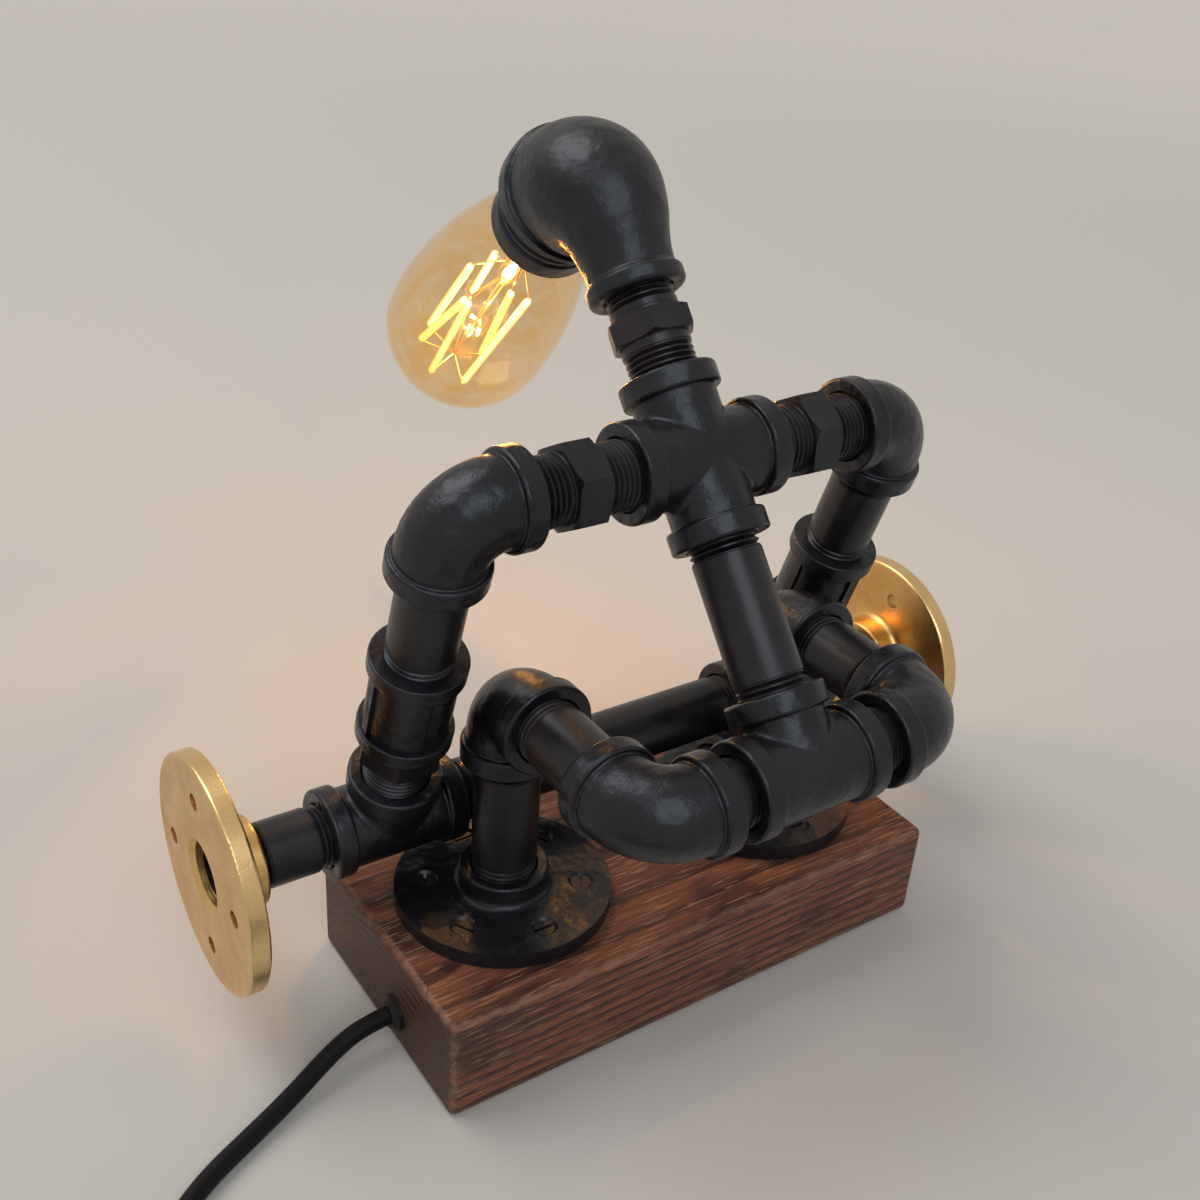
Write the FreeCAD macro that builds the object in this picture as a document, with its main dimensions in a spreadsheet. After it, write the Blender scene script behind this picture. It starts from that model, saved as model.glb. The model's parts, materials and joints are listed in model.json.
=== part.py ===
import FreeCAD, Part
import math
import os

import Sketcher

os.makedirs("parts", exist_ok=True)
doc = FreeCAD.newDocument("PipeTableLamp")
Vector = FreeCAD.Vector

# ---------------------------------------------------------------------------
# Driving dimensions, millimetres and degrees. X runs along the wooden base,
# +Y is the side that the lamp faces, +Z is up, the origin is the middle of
# the underside of the base.
# ---------------------------------------------------------------------------
SIZES = {
    # wooden base
    "base_long": 192.0,
    "base_deep": 91.0,
    "base_tall": 37.0,
    "base_round": 2.5,
    "channel_radius": 4.5,
    "channel_side": -8.5,
    "channel_up": 12.5,
    "wiring_bore_radius": 14.0,
    "wiring_bore_floor": 5.0,
    # half inch steel pipe and its thread
    "pipe_radius": 10.65,
    "pipe_bore": 7.9,
    "thread_radius": 10.4,
    "thread_pitch": 1.81,
    "thread_depth": 0.95,
    "thread_long": 15.5,
    "thread_grip": 11.5,
    "thread_gap": 0.05,
    "end_bevel": 0.9,
    # malleable iron fittings
    "band_radius": 15.0,
    "band_wide": 6.8,
    "band_round": 1.0,
    "body_radius": 13.3,
    "branch_radius": 12.9,
    "root_round": 0.6,
    "crotch_round": 2.2,
    "waterway": 9.0,
    "mouth_bevel": 0.8,
    "elbow_reach": 22.5,
    "elbow_bend": 14.6,
    "tee_reach": 23.0,
    "cross_reach": 25.8,
    "socket_room": 0.4,
    # joint centres of the figure
    "foot_half": 52.5,
    "knee_rise": 77.5,
    "thigh_long": 72.5,
    "torso_long": 94.5,
    "torso_lean": 40.3,
    "shoulder_half": 80.5,
    "bar_rise": 23.61,
    "arm_lean": 17.4,
    "neck_long": 94.2,
    "head_tilt": 6.5,
    "disc_face_half": 142.0,
    # foot flanges and their wood screws
    "foot_radius": 35.5,
    "foot_plate": 5.3,
    "foot_hub_radius": 14.6,
    "foot_tall": 13.0,
    "foot_hub_round": 2.5,
    "foot_holes": 6.0,
    "foot_hole_circle": 25.5,
    "foot_hole_radius": 2.3,
    "foot_sink_radius": 4.3,
    "foot_turn": 30.0,
    "screw_drop": 0.8,
    "screw_gap": 0.1,
    "screw_shank_radius": 1.8,
    "screw_long": 25.0,
    "screw_slot_wide": 1.0,
    "screw_slot_deep": 0.9,
    # brass discs
    "disc_radius": 38.6,
    "disc_plate": 6.4,
    "disc_hub_radius": 14.6,
    "disc_tall": 16.0,
    "disc_round": 1.0,
    "disc_hub_round": 2.5,
    "disc_holes": 4.0,
    "disc_hole_circle": 26.0,
    "disc_hole_radius": 2.8,
    "disc_turn_left": 84.0,
    "disc_turn_right": 11.0,
    "disc_mouth_radius": 12.0,
    "disc_pipe_inset": 3.0,
    # hexagon nipples, half widths across flats
    "hex_half": 11.9,
    "shoulder_hex_wide": 10.5,
    "wrist_hex_wide": 8.0,
    "neck_hex_wide": 7.5,
    "neck_hex_start": 36.5,
    # couplings in the arms
    "coupling_long": 34.5,
    "wrist_room": 19.0,
    "rib_half": 1.4,
    "rib_out": 14.3,
    "coupling_ribs": 4.0,
    # head: reducing elbow with the lampholder in its wide mouth
    "head_inlet": 43.2,
    "head_mouth": 24.6,
    "head_band_radius": 22.0,
    "head_band_wide": 5.8,
    "head_band_round": 0.8,
    "head_body_radius": 20.8,
    "head_bend": 22.5,
    "head_socket_radius": 16.8,
    "head_socket_deep": 17.0,
    "head_waterway": 15.0,
    "holder_gap": 0.3,
    "holder_flange_gap": 0.05,
    "skirt_radius": 18.4,
    "skirt_bore": 16.9,
    "skirt_end": 43.4,
    "skirt_ridge": 0.8,
    "skirt_ridge_pitch": 3.0,
    "holder_wall": 1.6,
    "holder_ledge": 1.5,
    "insulator_start": 8.0,
    "insulator_thick": 6.0,
    "shell_radius": 14.3,
    "shell_wall": 0.5,
    "shell_end": 36.0,
    "contact_radius": 4.0,
    "contact_end": 16.1,
    # bulb, measured from the centre of the head elbow along the lamp's axis
    "bulb_start": 16.4,
    "cap_radius": 13.1,
    "cap_core_radius": 12.2,
    "cap_thread_pitch": 3.6,
    "cap_thread_start": 22.5,
    "cap_thread_turns": 4.0,
    "cap_end": 40.5,
    "glass_start": 37.0,
    "glass_neck_radius": 16.6,
    "glass_shoulder_at": 60.0,
    "glass_shoulder_radius": 21.5,
    "glass_middle_at": 84.0,
    "glass_middle_radius": 26.8,
    "glass_round_at": 130.0,
    "glass_radius": 31.2,
    "glass_wall": 1.0,
    "glass_neck_curve": 9.0,
    "stem_foot_radius": 10.2,
    "stem_radius": 3.6,
    "stem_end": 88.0,
    "filament_radius": 0.9,
    "filament_root": 8.0,
    "filament_hub_at": 150.0,
    "filament_hub_side": 3.0,
    "wire_radius": 0.4,
    # lead inside the pipes, and the cord outside
    "cord_radius": 3.0,
    "lead_bend": 18.0,
    "lead_rise_bend": 40.0,
    "grommet_radius": 6.0,
    "grommet_out": 3.0,
    "grommet_in": 20.0,
    "grommet_gap": 0.05,
    "cord_gap": 0.05,
    "coil_middle_radius": 33.5,
    "tie_wide": 8.0,
    "tie_thick": 0.8,
    "switch_long": 58.0,
    "switch_wide": 22.0,
    "switch_wall": 1.8,
    "shell_gap": 0.05,
    "switch_lower_tall": 7.2,
    "switch_upper_tall": 8.3,
    "switch_corner": 6.0,
    "switch_edge": 2.0,
    "rocker_long": 18.0,
    "rocker_end_gap": 1.2,
    "rocker_wide": 10.0,
    "rocker_gap": 0.3,
    "rocker_proud": 2.0,
    "rocker_deep": 5.0,
    "plug_long": 36.0,
    "plug_wide": 26.0,
    "plug_thick": 13.6,
    "plug_tail_radius": 4.6,
    "plug_round": 3.0,
    "plug_tail_long": 14.0,
    "pin_radius": 2.0,
    "pin_long": 19.0,
    "pin_half": 9.3,
}
sheet = doc.addObject("Spreadsheet::Sheet", "sizes")
for row, (alias, value) in enumerate(SIZES.items(), start=1):
    sheet.set("A%d" % row, alias)
    sheet.set("B%d" % row, str(value))
    sheet.setAlias("B%d" % row, alias)
doc.recompute()

# Places that follow from the driving dimensions, kept once for every piece.
PLACES = {
    "hip_up": "sizes.base_tall + sizes.knee_rise",
    "hip_back": "-sizes.thigh_long",
    "chest_forward": "hip_back + sizes.torso_long * sin(sizes.torso_lean)",
    "chest_up": "hip_up + sizes.torso_long * cos(sizes.torso_lean)",
    "bar_up": "sizes.base_tall + sizes.bar_rise",
    "arm_long": "(chest_up - bar_up) / cos(sizes.arm_lean)",
    "bar_forward": "chest_forward + arm_long * sin(sizes.arm_lean)",
    "head_forward": "chest_forward + sizes.neck_long * sin(sizes.torso_lean)",
    "head_up": "chest_up + sizes.neck_long * cos(sizes.torso_lean)",
    "socket_radius": "sizes.thread_radius + sizes.thread_gap",
    "elbow_pipe": "sizes.elbow_reach - sizes.thread_grip",
    "tee_pipe": "sizes.tee_reach - sizes.thread_grip",
    "cross_pipe": "sizes.cross_reach - sizes.thread_grip",
    "foot_pipe": "sizes.base_tall + sizes.foot_tall - sizes.thread_grip",
    "disc_pipe": "sizes.disc_face_half - sizes.disc_pipe_inset",
    "coupling_end": "arm_long - sizes.tee_reach - sizes.wrist_room",
    "coupling_start": "coupling_end - sizes.coupling_long",
    "neck_end": "sizes.neck_long - sizes.head_inlet + sizes.thread_grip",
}
places = doc.addObject("App::VarSet", "places")
for name, rule in PLACES.items():
    places.addProperty("App::PropertyFloat", name, "Places", "")
    places.setExpression(name, rule)
doc.recompute()


def size(rule):
    """The value of an expression on the sheet and the places."""
    return float(places.evalExpression(rule))


# ---------------------------------------------------------------------------
# Small tools for the bodies.
# ---------------------------------------------------------------------------
nodes = []


def place(item, forward="0", up="0", across="0", axis="1; 0; 0", angle="0", turn=None):
    """Ties an item's placement to a point and a turn about an axis, or a turn given whole."""
    spot = "vector(%s; %s; %s)" % (across, forward, up)
    turn = turn or "rotation(vector(%s); %s)" % (axis, angle)
    item.setExpression("Placement", "placement(%s; %s)" % (spot, turn))


def new_body(name, **spot):
    body = doc.addObject("PartDesign::Body", name)
    body.Label = name
    body.AllowCompound = True
    place(body, **spot)
    nodes.append(body)
    return body


def plane_of(body, role):
    return [item for item in body.Origin.OriginFeatures if item.Role == role][0]


def new_sketch(body, name, role, away=None):
    """A sketch on one of the body's own planes, moved along its normal."""
    sketch = body.newObject("Sketcher::SketchObject", body.Name + "_" + name)
    sketch.AttachmentSupport = [(plane_of(body, role), "")]
    sketch.MapMode = "FlatFace"
    if away:
        sketch.setExpression("AttachmentOffset.Base.z", away)
    return sketch


def outline(body, name, role, corners, away=None, axis=None):
    """A closed outline whose corners are tied to the sizes; axis adds a line to turn about."""
    sketch = new_sketch(body, name, role, away)
    spots = [Vector(size(u), size(v), 0) for u, v in corners]
    count = len(spots)
    lines = [Part.LineSegment(spots[k], spots[(k + 1) % count]) for k in range(count)]
    sketch.addGeometry(lines, False)
    ties = [Sketcher.Constraint("Coincident", k, 2, (k + 1) % count, 1) for k in range(count)]
    for k, spot in enumerate(spots):
        ties.append(Sketcher.Constraint("DistanceX", -1, 1, k, 1, spot.x))
        ties.append(Sketcher.Constraint("DistanceY", -1, 1, k, 1, spot.y))
    sketch.addConstraint(ties)
    for k, (u, v) in enumerate(corners):
        sketch.setExpression("Constraints[%d]" % (count + 2 * k), u)
        sketch.setExpression("Constraints[%d]" % (count + 2 * k + 1), v)
    if axis:
        add_axis(sketch, axis, count, 3 * count)
    return sketch


def add_axis(sketch, axis, line, first):
    """A construction line through a tied point, along the sketch's up or across direction."""
    u, v, up = axis
    start = Vector(size(u), size(v), 0)
    step = Vector(0, 1, 0) if up else Vector(1, 0, 0)
    sketch.addGeometry(Part.LineSegment(start, start + step), True)
    sketch.addConstraint(
        [
            Sketcher.Constraint("DistanceX", -1, 1, line, 1, start.x),
            Sketcher.Constraint("DistanceY", -1, 1, line, 1, start.y),
            Sketcher.Constraint("Vertical" if up else "Horizontal", line),
            Sketcher.Constraint("Distance", line, 1, line, 2, 1.0),
        ]
    )
    sketch.setExpression("Constraints[%d]" % first, u)
    sketch.setExpression("Constraints[%d]" % (first + 1), v)


def circle(body, name, role, radius, away=None, u="0", v="0", axis=None):
    """A circle tied to its centre and radius."""
    sketch = new_sketch(body, name, role, away)
    centre = Vector(size(u), size(v), 0)
    sketch.addGeometry(Part.Circle(centre, Vector(0, 0, 1), size(radius)), False)
    sketch.addConstraint(
        [
            Sketcher.Constraint("DistanceX", -1, 1, 0, 3, centre.x),
            Sketcher.Constraint("DistanceY", -1, 1, 0, 3, centre.y),
            Sketcher.Constraint("Radius", 0, size(radius)),
        ]
    )
    sketch.setExpression("Constraints[0]", u)
    sketch.setExpression("Constraints[1]", v)
    sketch.setExpression("Constraints[2]", radius)
    if axis:
        add_axis(sketch, axis, 1, 3)
    return sketch


def turned(body, sketch, axis="V_Axis", cut=False, angle="360", back=False):
    """A revolution of the sketch, or a groove that takes it away."""
    kind = "PartDesign::Groove" if cut else "PartDesign::Revolution"
    feature = body.newObject(kind, sketch.Name + "_turned")
    feature.Profile = sketch
    feature.ReferenceAxis = (sketch, [axis])
    feature.Reversed = back
    feature.setExpression("Angle", angle)
    return feature


def padded(body, sketch, length, cut=False, middle=False, back=False):
    """A pad of the sketch, or a pocket."""
    kind = "PartDesign::Pocket" if cut else "PartDesign::Pad"
    feature = body.newObject(kind, sketch.Name + ("_pocket" if cut else "_pad"))
    feature.Profile = sketch
    feature.Midplane = middle
    feature.Reversed = back
    feature.setExpression("Length", length)
    return feature


def rounded(body, name, radius, chosen):
    """Rounds the edges of the body that the test picks."""
    doc.recompute()
    base = body.Tip
    picked = ["Edge%d" % (k + 1) for k, edge in enumerate(base.Shape.Edges) if chosen(edge)]
    if not picked:
        raise ValueError("%s: no edge to round for %s" % (body.Name, name))
    feature = body.newObject("PartDesign::Fillet", body.Name + "_" + name)
    feature.Base = (base, picked)
    feature.setExpression("Radius", radius)
    return feature


def around(body, feature, count, angle=360):
    """Repeats a feature about the body's own Z axis."""
    pattern = body.newObject("PartDesign::PolarPattern", feature.Name + "_around")
    pattern.Originals = [feature]
    pattern.Axis = (plane_of(body, "Z_Axis"), [""])
    pattern.Angle = angle
    pattern.setExpression("Occurrences", count)
    body.Tip = pattern
    return pattern


def ring(edge, radius, where=None):
    """Whether the edge is a circle of this radius, centred this far from the body's origin."""
    if edge.Degenerated:
        return False
    curve = edge.Curve
    if not isinstance(curve, Part.Circle) or abs(curve.Radius - radius) > 0.01:
        return False
    return where is None or abs(curve.Center.Length - where) < 0.01


def mirrored(source, name):
    """The right-hand piece, a mirror image of the left-hand one."""
    item = doc.addObject("Part::Mirroring", name)
    item.Label = name
    item.Source = source
    item.Normal = Vector(1, 0, 0)
    item.Base = Vector(0, 0, 0)
    nodes.append(item)
    return item


def right_of(source):
    return mirrored(source, source.Label.replace("left_", "right_"))


# ---------------------------------------------------------------------------
# Threads, nipples and fittings.
# ---------------------------------------------------------------------------
def thread(body, name, start, long, up=True, cut_radius="sizes.thread_radius"):
    """Vee cuts a pitch apart, from just inside an end of the pipe towards its middle."""
    sign = "+" if up else "-"
    first = "%s %s (sizes.end_bevel + sizes.thread_pitch / 2)" % (start, sign)
    top = "%s + 0.2" % cut_radius
    deep = "%s - sizes.thread_depth" % cut_radius
    half = "sizes.thread_pitch * 0.46"
    vee = outline(
        body,
        name,
        "XZ_Plane",
        [(top, "%s - %s" % (first, half)), (deep, first), (top, "%s + %s" % (first, half))],
    )
    cut = turned(body, vee, cut=True)
    count = "max(1; floor((%s - sizes.end_bevel) / sizes.thread_pitch))" % long
    pattern = body.newObject("PartDesign::LinearPattern", body.Name + "_" + name + "_row")
    pattern.Originals = [cut]
    pattern.Direction = (vee, ["V_Axis"])
    pattern.Reversed = not up
    pattern.Mode = "Spacing"
    pattern.setExpression("Offset", "sizes.thread_pitch")
    pattern.setExpression("Occurrences", count)
    body.Tip = pattern


def nipple(name, low, high, low_thread, high_thread, hexagon=None, **spot):
    """A pipe along Z from low to high, threaded at both ends, with a hexagon between if given."""
    body = new_body(name, **spot)
    bevel = "sizes.end_bevel"
    crest = "sizes.thread_radius"
    land = "sizes.pipe_radius"
    rise = "(%s - %s)" % (land, crest)
    corners = [
        ("sizes.pipe_bore", low),
        ("%s - %s" % (crest, bevel), low),
        (crest, "%s + %s" % (low, bevel)),
    ]
    if size("(%s) - (%s) - (%s) - (%s)" % (high, low, low_thread, high_thread)) > 1:
        corners += [
            (crest, "%s + %s" % (low, low_thread)),
            (land, "%s + %s + %s" % (low, low_thread, rise)),
            (land, "%s - (%s) - %s" % (high, high_thread, rise)),
            (crest, "%s - (%s)" % (high, high_thread)),
        ]
    corners += [
        (crest, "%s - %s" % (high, bevel)),
        ("%s - %s" % (crest, bevel), high),
        ("sizes.pipe_bore", high),
    ]
    turned(body, outline(body, "wall", "XZ_Plane", corners))
    if hexagon:
        start, wide = hexagon
        six_sides(body, start, wide)
    doc.recompute()
    thread(body, "low_thread", low, low_thread, up=True)
    thread(body, "high_thread", high, high_thread, up=False)
    return body


def six_sides(body, start, wide):
    """A hexagon collar with its corners turned off, bored as the pipe is."""
    far = "sizes.hex_half / cos(30)"
    corners = [
        ("(%s) * %s" % (far, turn_cos), "(%s) * %s" % (far, turn_sin))
        for turn_cos, turn_sin in (
            ("cos(0)", "sin(0)"),
            ("cos(60)", "sin(60)"),
            ("cos(120)", "sin(120)"),
            ("cos(180)", "sin(180)"),
            ("cos(240)", "sin(240)"),
            ("cos(300)", "sin(300)"),
        )
    ]
    sketch = outline(body, "hexagon", "XY_Plane", corners, away=start)
    padded(body, sketch, wide)
    bore = outline(
        body,
        "bore",
        "XZ_Plane",
        [
            ("0", "%s - 1" % start),
            ("sizes.pipe_bore", "%s - 1" % start),
            ("sizes.pipe_bore", "%s + %s + 1" % (start, wide)),
            ("0", "%s + %s + 1" % (start, wide)),
        ],
    )
    turned(body, bore, cut=True)
    trim = "sizes.hex_half + 0.15"
    for label, edge, inward in (
        ("lower_trim", start, "+"),
        ("upper_trim", "%s + %s" % (start, wide), "-"),
    ):
        wedge = outline(
            body,
            label,
            "XZ_Plane",
            [
                (trim, edge),
                ("%s + 3" % (far), edge),
                ("%s + 3" % (far), "%s %s (%s + 3 - %s) * 0.5" % (edge, inward, far, trim)),
            ],
        )
        turned(body, wedge, cut=True)


def leg(reach, radius, start="0"):
    """Outline of one leg of a fitting as (radius, distance), banded at its mouth."""
    return [
        ("0", start),
        (radius, start),
        (radius, "%s - sizes.band_wide" % reach),
        ("sizes.band_radius", "%s - sizes.band_wide" % reach),
        ("sizes.band_radius", reach),
        ("0", reach),
    ]


def socket(reach):
    """Outline of the hole in one leg: waterway, threaded socket and bevelled mouth."""
    depth = "%s - sizes.thread_grip - sizes.socket_room" % reach
    return [
        ("0", "0"),
        ("sizes.waterway", "0"),
        ("sizes.waterway", depth),
        ("places.socket_radius", depth),
        ("places.socket_radius", "%s - sizes.mouth_bevel" % reach),
        ("places.socket_radius + sizes.mouth_bevel", reach),
        ("0", reach),
    ]


def down(corners):
    return [(u, "-(%s)" % v) for u, v in corners]


def flipped(corners):
    return [(v, u) for u, v in corners]


def band_edges(reach):
    """The two outer edges of every band at this reach."""
    band = size("sizes.band_radius")
    inner = size("%s - sizes.band_wide" % reach)
    outer = size(reach)
    return lambda edge: ring(edge, band, inner) or ring(edge, band, outer)


def root_edges(reach):
    """The inner corner between a leg and its band."""
    inner = size("%s - sizes.band_wide" % reach)
    radii = (size("sizes.body_radius"), size("sizes.branch_radius"))
    return lambda edge: any(ring(edge, radius, inner) for radius in radii)


def crotch_edges(edge):
    """Where a branch runs into the body."""
    return isinstance(edge.Curve, Part.BSplineCurve)


def branched(name, reach, legs, **spot):
    """A tee or cross: two legs along X, and the others along Z."""
    body = new_body(name, **spot)
    main = "sizes.body_radius"
    side = "sizes.branch_radius"
    for label, plan, axis in (
        ("run_right", flipped(leg(reach, main)), "H_Axis"),
        ("run_left", [("-(%s)" % u, v) for u, v in flipped(leg(reach, main))], "H_Axis"),
    ):
        turned(body, outline(body, label, "XZ_Plane", plan), axis=axis)
    if "up" in legs:
        turned(body, outline(body, "branch_up", "XZ_Plane", leg(reach, side)))
    if "down" in legs:
        turned(body, outline(body, "branch_down", "XZ_Plane", down(leg(reach, side))))
    rounded(body, "crotch", "sizes.crotch_round", crotch_edges)
    rounded(body, "bands", "sizes.band_round", band_edges(reach))
    rounded(body, "roots", "sizes.root_round", root_edges(reach))
    hole = socket(reach)
    right = flipped(hole)
    turned(body, outline(body, "hole_right", "XZ_Plane", right), axis="H_Axis", cut=True)
    left = [("-(%s)" % u, v) for u, v in right]
    turned(body, outline(body, "hole_left", "XZ_Plane", left), axis="H_Axis", cut=True)
    if "up" in legs:
        turned(body, outline(body, "hole_up", "XZ_Plane", hole), cut=True)
    if "down" in legs:
        turned(body, outline(body, "hole_down", "XZ_Plane", down(hole)), cut=True)
    return body


def elbow(name, **spot):
    """A quarter bend with its mouths along +X and +Y."""
    body = new_body(name, **spot)
    reach = "sizes.elbow_reach"
    bend = "sizes.elbow_bend"
    quarter = circle(
        body, "bend", "YZ_Plane", "sizes.body_radius", away=bend, axis=(bend, "0", True)
    )
    turned(body, quarter, axis="Axis0", angle="90", back=True)
    shape = leg(reach, "sizes.body_radius", bend)
    turned(body, outline(body, "leg_x", "XY_Plane", flipped(shape)), axis="H_Axis")
    turned(body, outline(body, "leg_y", "XY_Plane", shape))
    rounded(body, "bands", "sizes.band_round", band_edges(reach))
    rounded(body, "roots", "sizes.root_round", root_edges(reach))
    wet = circle(body, "inside", "YZ_Plane", "sizes.waterway", away=bend, axis=(bend, "0", True))
    turned(body, wet, axis="Axis0", angle="90", back=True, cut=True)
    floor = ("0", "%s - sizes.thread_grip - sizes.socket_room" % reach)
    hole = [floor] + socket(reach)[3:]
    turned(body, outline(body, "hole_x", "XY_Plane", flipped(hole)), axis="H_Axis", cut=True)
    turned(body, outline(body, "hole_y", "XY_Plane", hole), cut=True)
    return body


def flange(name, rim, plate, tall, hub, hub_round, **spot):
    """A round plate with a threaded hub, its flat face on the body's XY plane."""
    body = new_body(name, **spot)
    corners = [
        ("places.socket_radius", "0"),
        (rim, "0"),
        (rim, plate),
        (hub, plate),
        (hub, tall),
        ("places.socket_radius + sizes.mouth_bevel", tall),
        ("places.socket_radius", "%s - sizes.mouth_bevel" % tall),
    ]
    turned(body, outline(body, "wall", "XZ_Plane", corners))
    hub_size = size(hub)
    plate_size = size(plate)
    tall_size = size(tall)
    rounded(body, "hub_root", hub_round, lambda edge: ring(edge, hub_size, plate_size))
    rounded(body, "hub_top", "sizes.band_round", lambda edge: ring(edge, hub_size, tall_size))
    return body


# ---------------------------------------------------------------------------
# Wooden base, foot flanges and screws.
# ---------------------------------------------------------------------------
def wood_base():
    body = new_body("wood_base")
    half_long = "sizes.base_long / 2"
    half_deep = "sizes.base_deep / 2"
    block = outline(
        body,
        "block",
        "XY_Plane",
        [
            ("-(%s)" % half_long, "-(%s)" % half_deep),
            (half_long, "-(%s)" % half_deep),
            (half_long, half_deep),
            ("-(%s)" % half_long, half_deep),
        ],
    )
    padded(body, block, "sizes.base_tall")
    rounded(body, "worn_edges", "sizes.base_round", lambda edge: True)
    bore = circle(
        body,
        "wiring_bore",
        "XY_Plane",
        "sizes.wiring_bore_radius",
        away="sizes.wiring_bore_floor",
        u="-sizes.foot_half",
    )
    padded(body, bore, "sizes.base_tall", cut=True, back=True)
    channel = circle(
        body,
        "channel",
        "YZ_Plane",
        "sizes.channel_radius",
        away="-sizes.foot_half",
        u="sizes.channel_side",
        v="sizes.channel_up",
    )
    padded(body, channel, "sizes.base_long", cut=True, back=False)
    for side in ("-", "+"):
        pilot_holes(body, side)
    return body


def pilot_holes(body, side):
    """Six holes in the wood under one foot flange."""
    name = "pilots_left" if side == "-" else "pilots_right"
    sketch = new_sketch(body, name, "XY_Plane", away="sizes.base_tall")
    radius = "sizes.screw_shank_radius + sizes.screw_gap"
    for k in range(round(size("sizes.foot_holes"))):
        turn = "(sizes.foot_turn + %d * 360 / sizes.foot_holes)" % k
        u = "%ssizes.foot_half + sizes.foot_hole_circle * cos(%s)" % (side, turn)
        v = "sizes.foot_hole_circle * sin(%s)" % turn
        centre = Vector(size(u), size(v), 0)
        sketch.addGeometry(Part.Circle(centre, Vector(0, 0, 1), size(radius)), False)
        sketch.addConstraint(
            [
                Sketcher.Constraint("DistanceX", -1, 1, k, 3, centre.x),
                Sketcher.Constraint("DistanceY", -1, 1, k, 3, centre.y),
                Sketcher.Constraint("Radius", k, size(radius)),
            ]
        )
        sketch.setExpression("Constraints[%d]" % (3 * k), u)
        sketch.setExpression("Constraints[%d]" % (3 * k + 1), v)
        sketch.setExpression("Constraints[%d]" % (3 * k + 2), radius)
    depth = "sizes.screw_long - sizes.foot_plate + sizes.screw_drop + 1"
    padded(body, sketch, depth, cut=True)


def foot_flange():
    body = flange(
        "left_foot_flange",
        "sizes.foot_radius",
        "sizes.foot_plate",
        "sizes.foot_tall",
        "sizes.foot_hub_radius",
        "sizes.foot_hub_round",
        across="-sizes.foot_half",
        up="sizes.base_tall",
        axis="0; 0; 1",
        angle="sizes.foot_turn",
    )
    sink = "sizes.foot_sink_radius - sizes.foot_hole_radius"
    ring_at = "sizes.foot_hole_circle"
    hole = outline(
        body,
        "screw_hole",
        "XZ_Plane",
        [
            (ring_at, "-1"),
            ("%s + sizes.foot_hole_radius" % ring_at, "-1"),
            ("%s + sizes.foot_hole_radius" % ring_at, "sizes.foot_plate - (%s)" % sink),
            ("%s + sizes.foot_sink_radius" % ring_at, "sizes.foot_plate"),
            (ring_at, "sizes.foot_plate + 1"),
        ],
        axis=(ring_at, "0", True),
    )
    cut = turned(body, hole, axis="Axis0", cut=True)
    around(body, cut, "sizes.foot_holes")
    return body


def foot_screws():
    """Six countersunk wood screws with a slot across each head."""
    body = new_body(
        "left_foot_screws",
        across="-sizes.foot_half",
        up="sizes.base_tall",
        axis="0; 0; 1",
        angle="sizes.foot_turn",
    )
    at = "sizes.foot_hole_circle"
    top = "sizes.foot_plate - sizes.screw_drop"
    cone = "(sizes.foot_sink_radius - sizes.foot_hole_radius)"
    neck = "sizes.foot_hole_radius - sizes.screw_gap"
    shank = "sizes.screw_shank_radius"
    head = "%s + sizes.foot_sink_radius - sizes.screw_drop - sizes.screw_gap * 1.5" % at
    tip = "%s - sizes.screw_long" % top
    corners = [
        (at, tip),
        ("%s + %s" % (at, shank), "%s + 4" % tip),
        ("%s + %s" % (at, shank), "0"),
        ("%s + %s" % (at, neck), "0.4"),
        ("%s + %s" % (at, neck), "sizes.foot_plate - %s + sizes.screw_gap / 2" % cone),
        (head, top),
        (at, top),
    ]
    one = turned(
        body, outline(body, "screw", "XZ_Plane", corners, axis=(at, "0", True)), axis="Axis0"
    )
    slot = outline(
        body,
        "slot",
        "XZ_Plane",
        [
            ("%s - sizes.screw_slot_wide / 2" % at, "%s - sizes.screw_slot_deep" % top),
            ("%s + sizes.screw_slot_wide / 2" % at, "%s - sizes.screw_slot_deep" % top),
            ("%s + sizes.screw_slot_wide / 2" % at, "%s + 1" % top),
            ("%s - sizes.screw_slot_wide / 2" % at, "%s + 1" % top),
        ],
    )
    cut = padded(body, slot, "sizes.foot_sink_radius * 3", cut=True, middle=True)
    pattern = body.newObject("PartDesign::PolarPattern", "left_foot_screws_around")
    pattern.Originals = [one, cut]
    pattern.Axis = (plane_of(body, "Z_Axis"), [""])
    pattern.Angle = 360
    pattern.setExpression("Occurrences", "sizes.foot_holes")
    body.Tip = pattern
    return body


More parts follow.
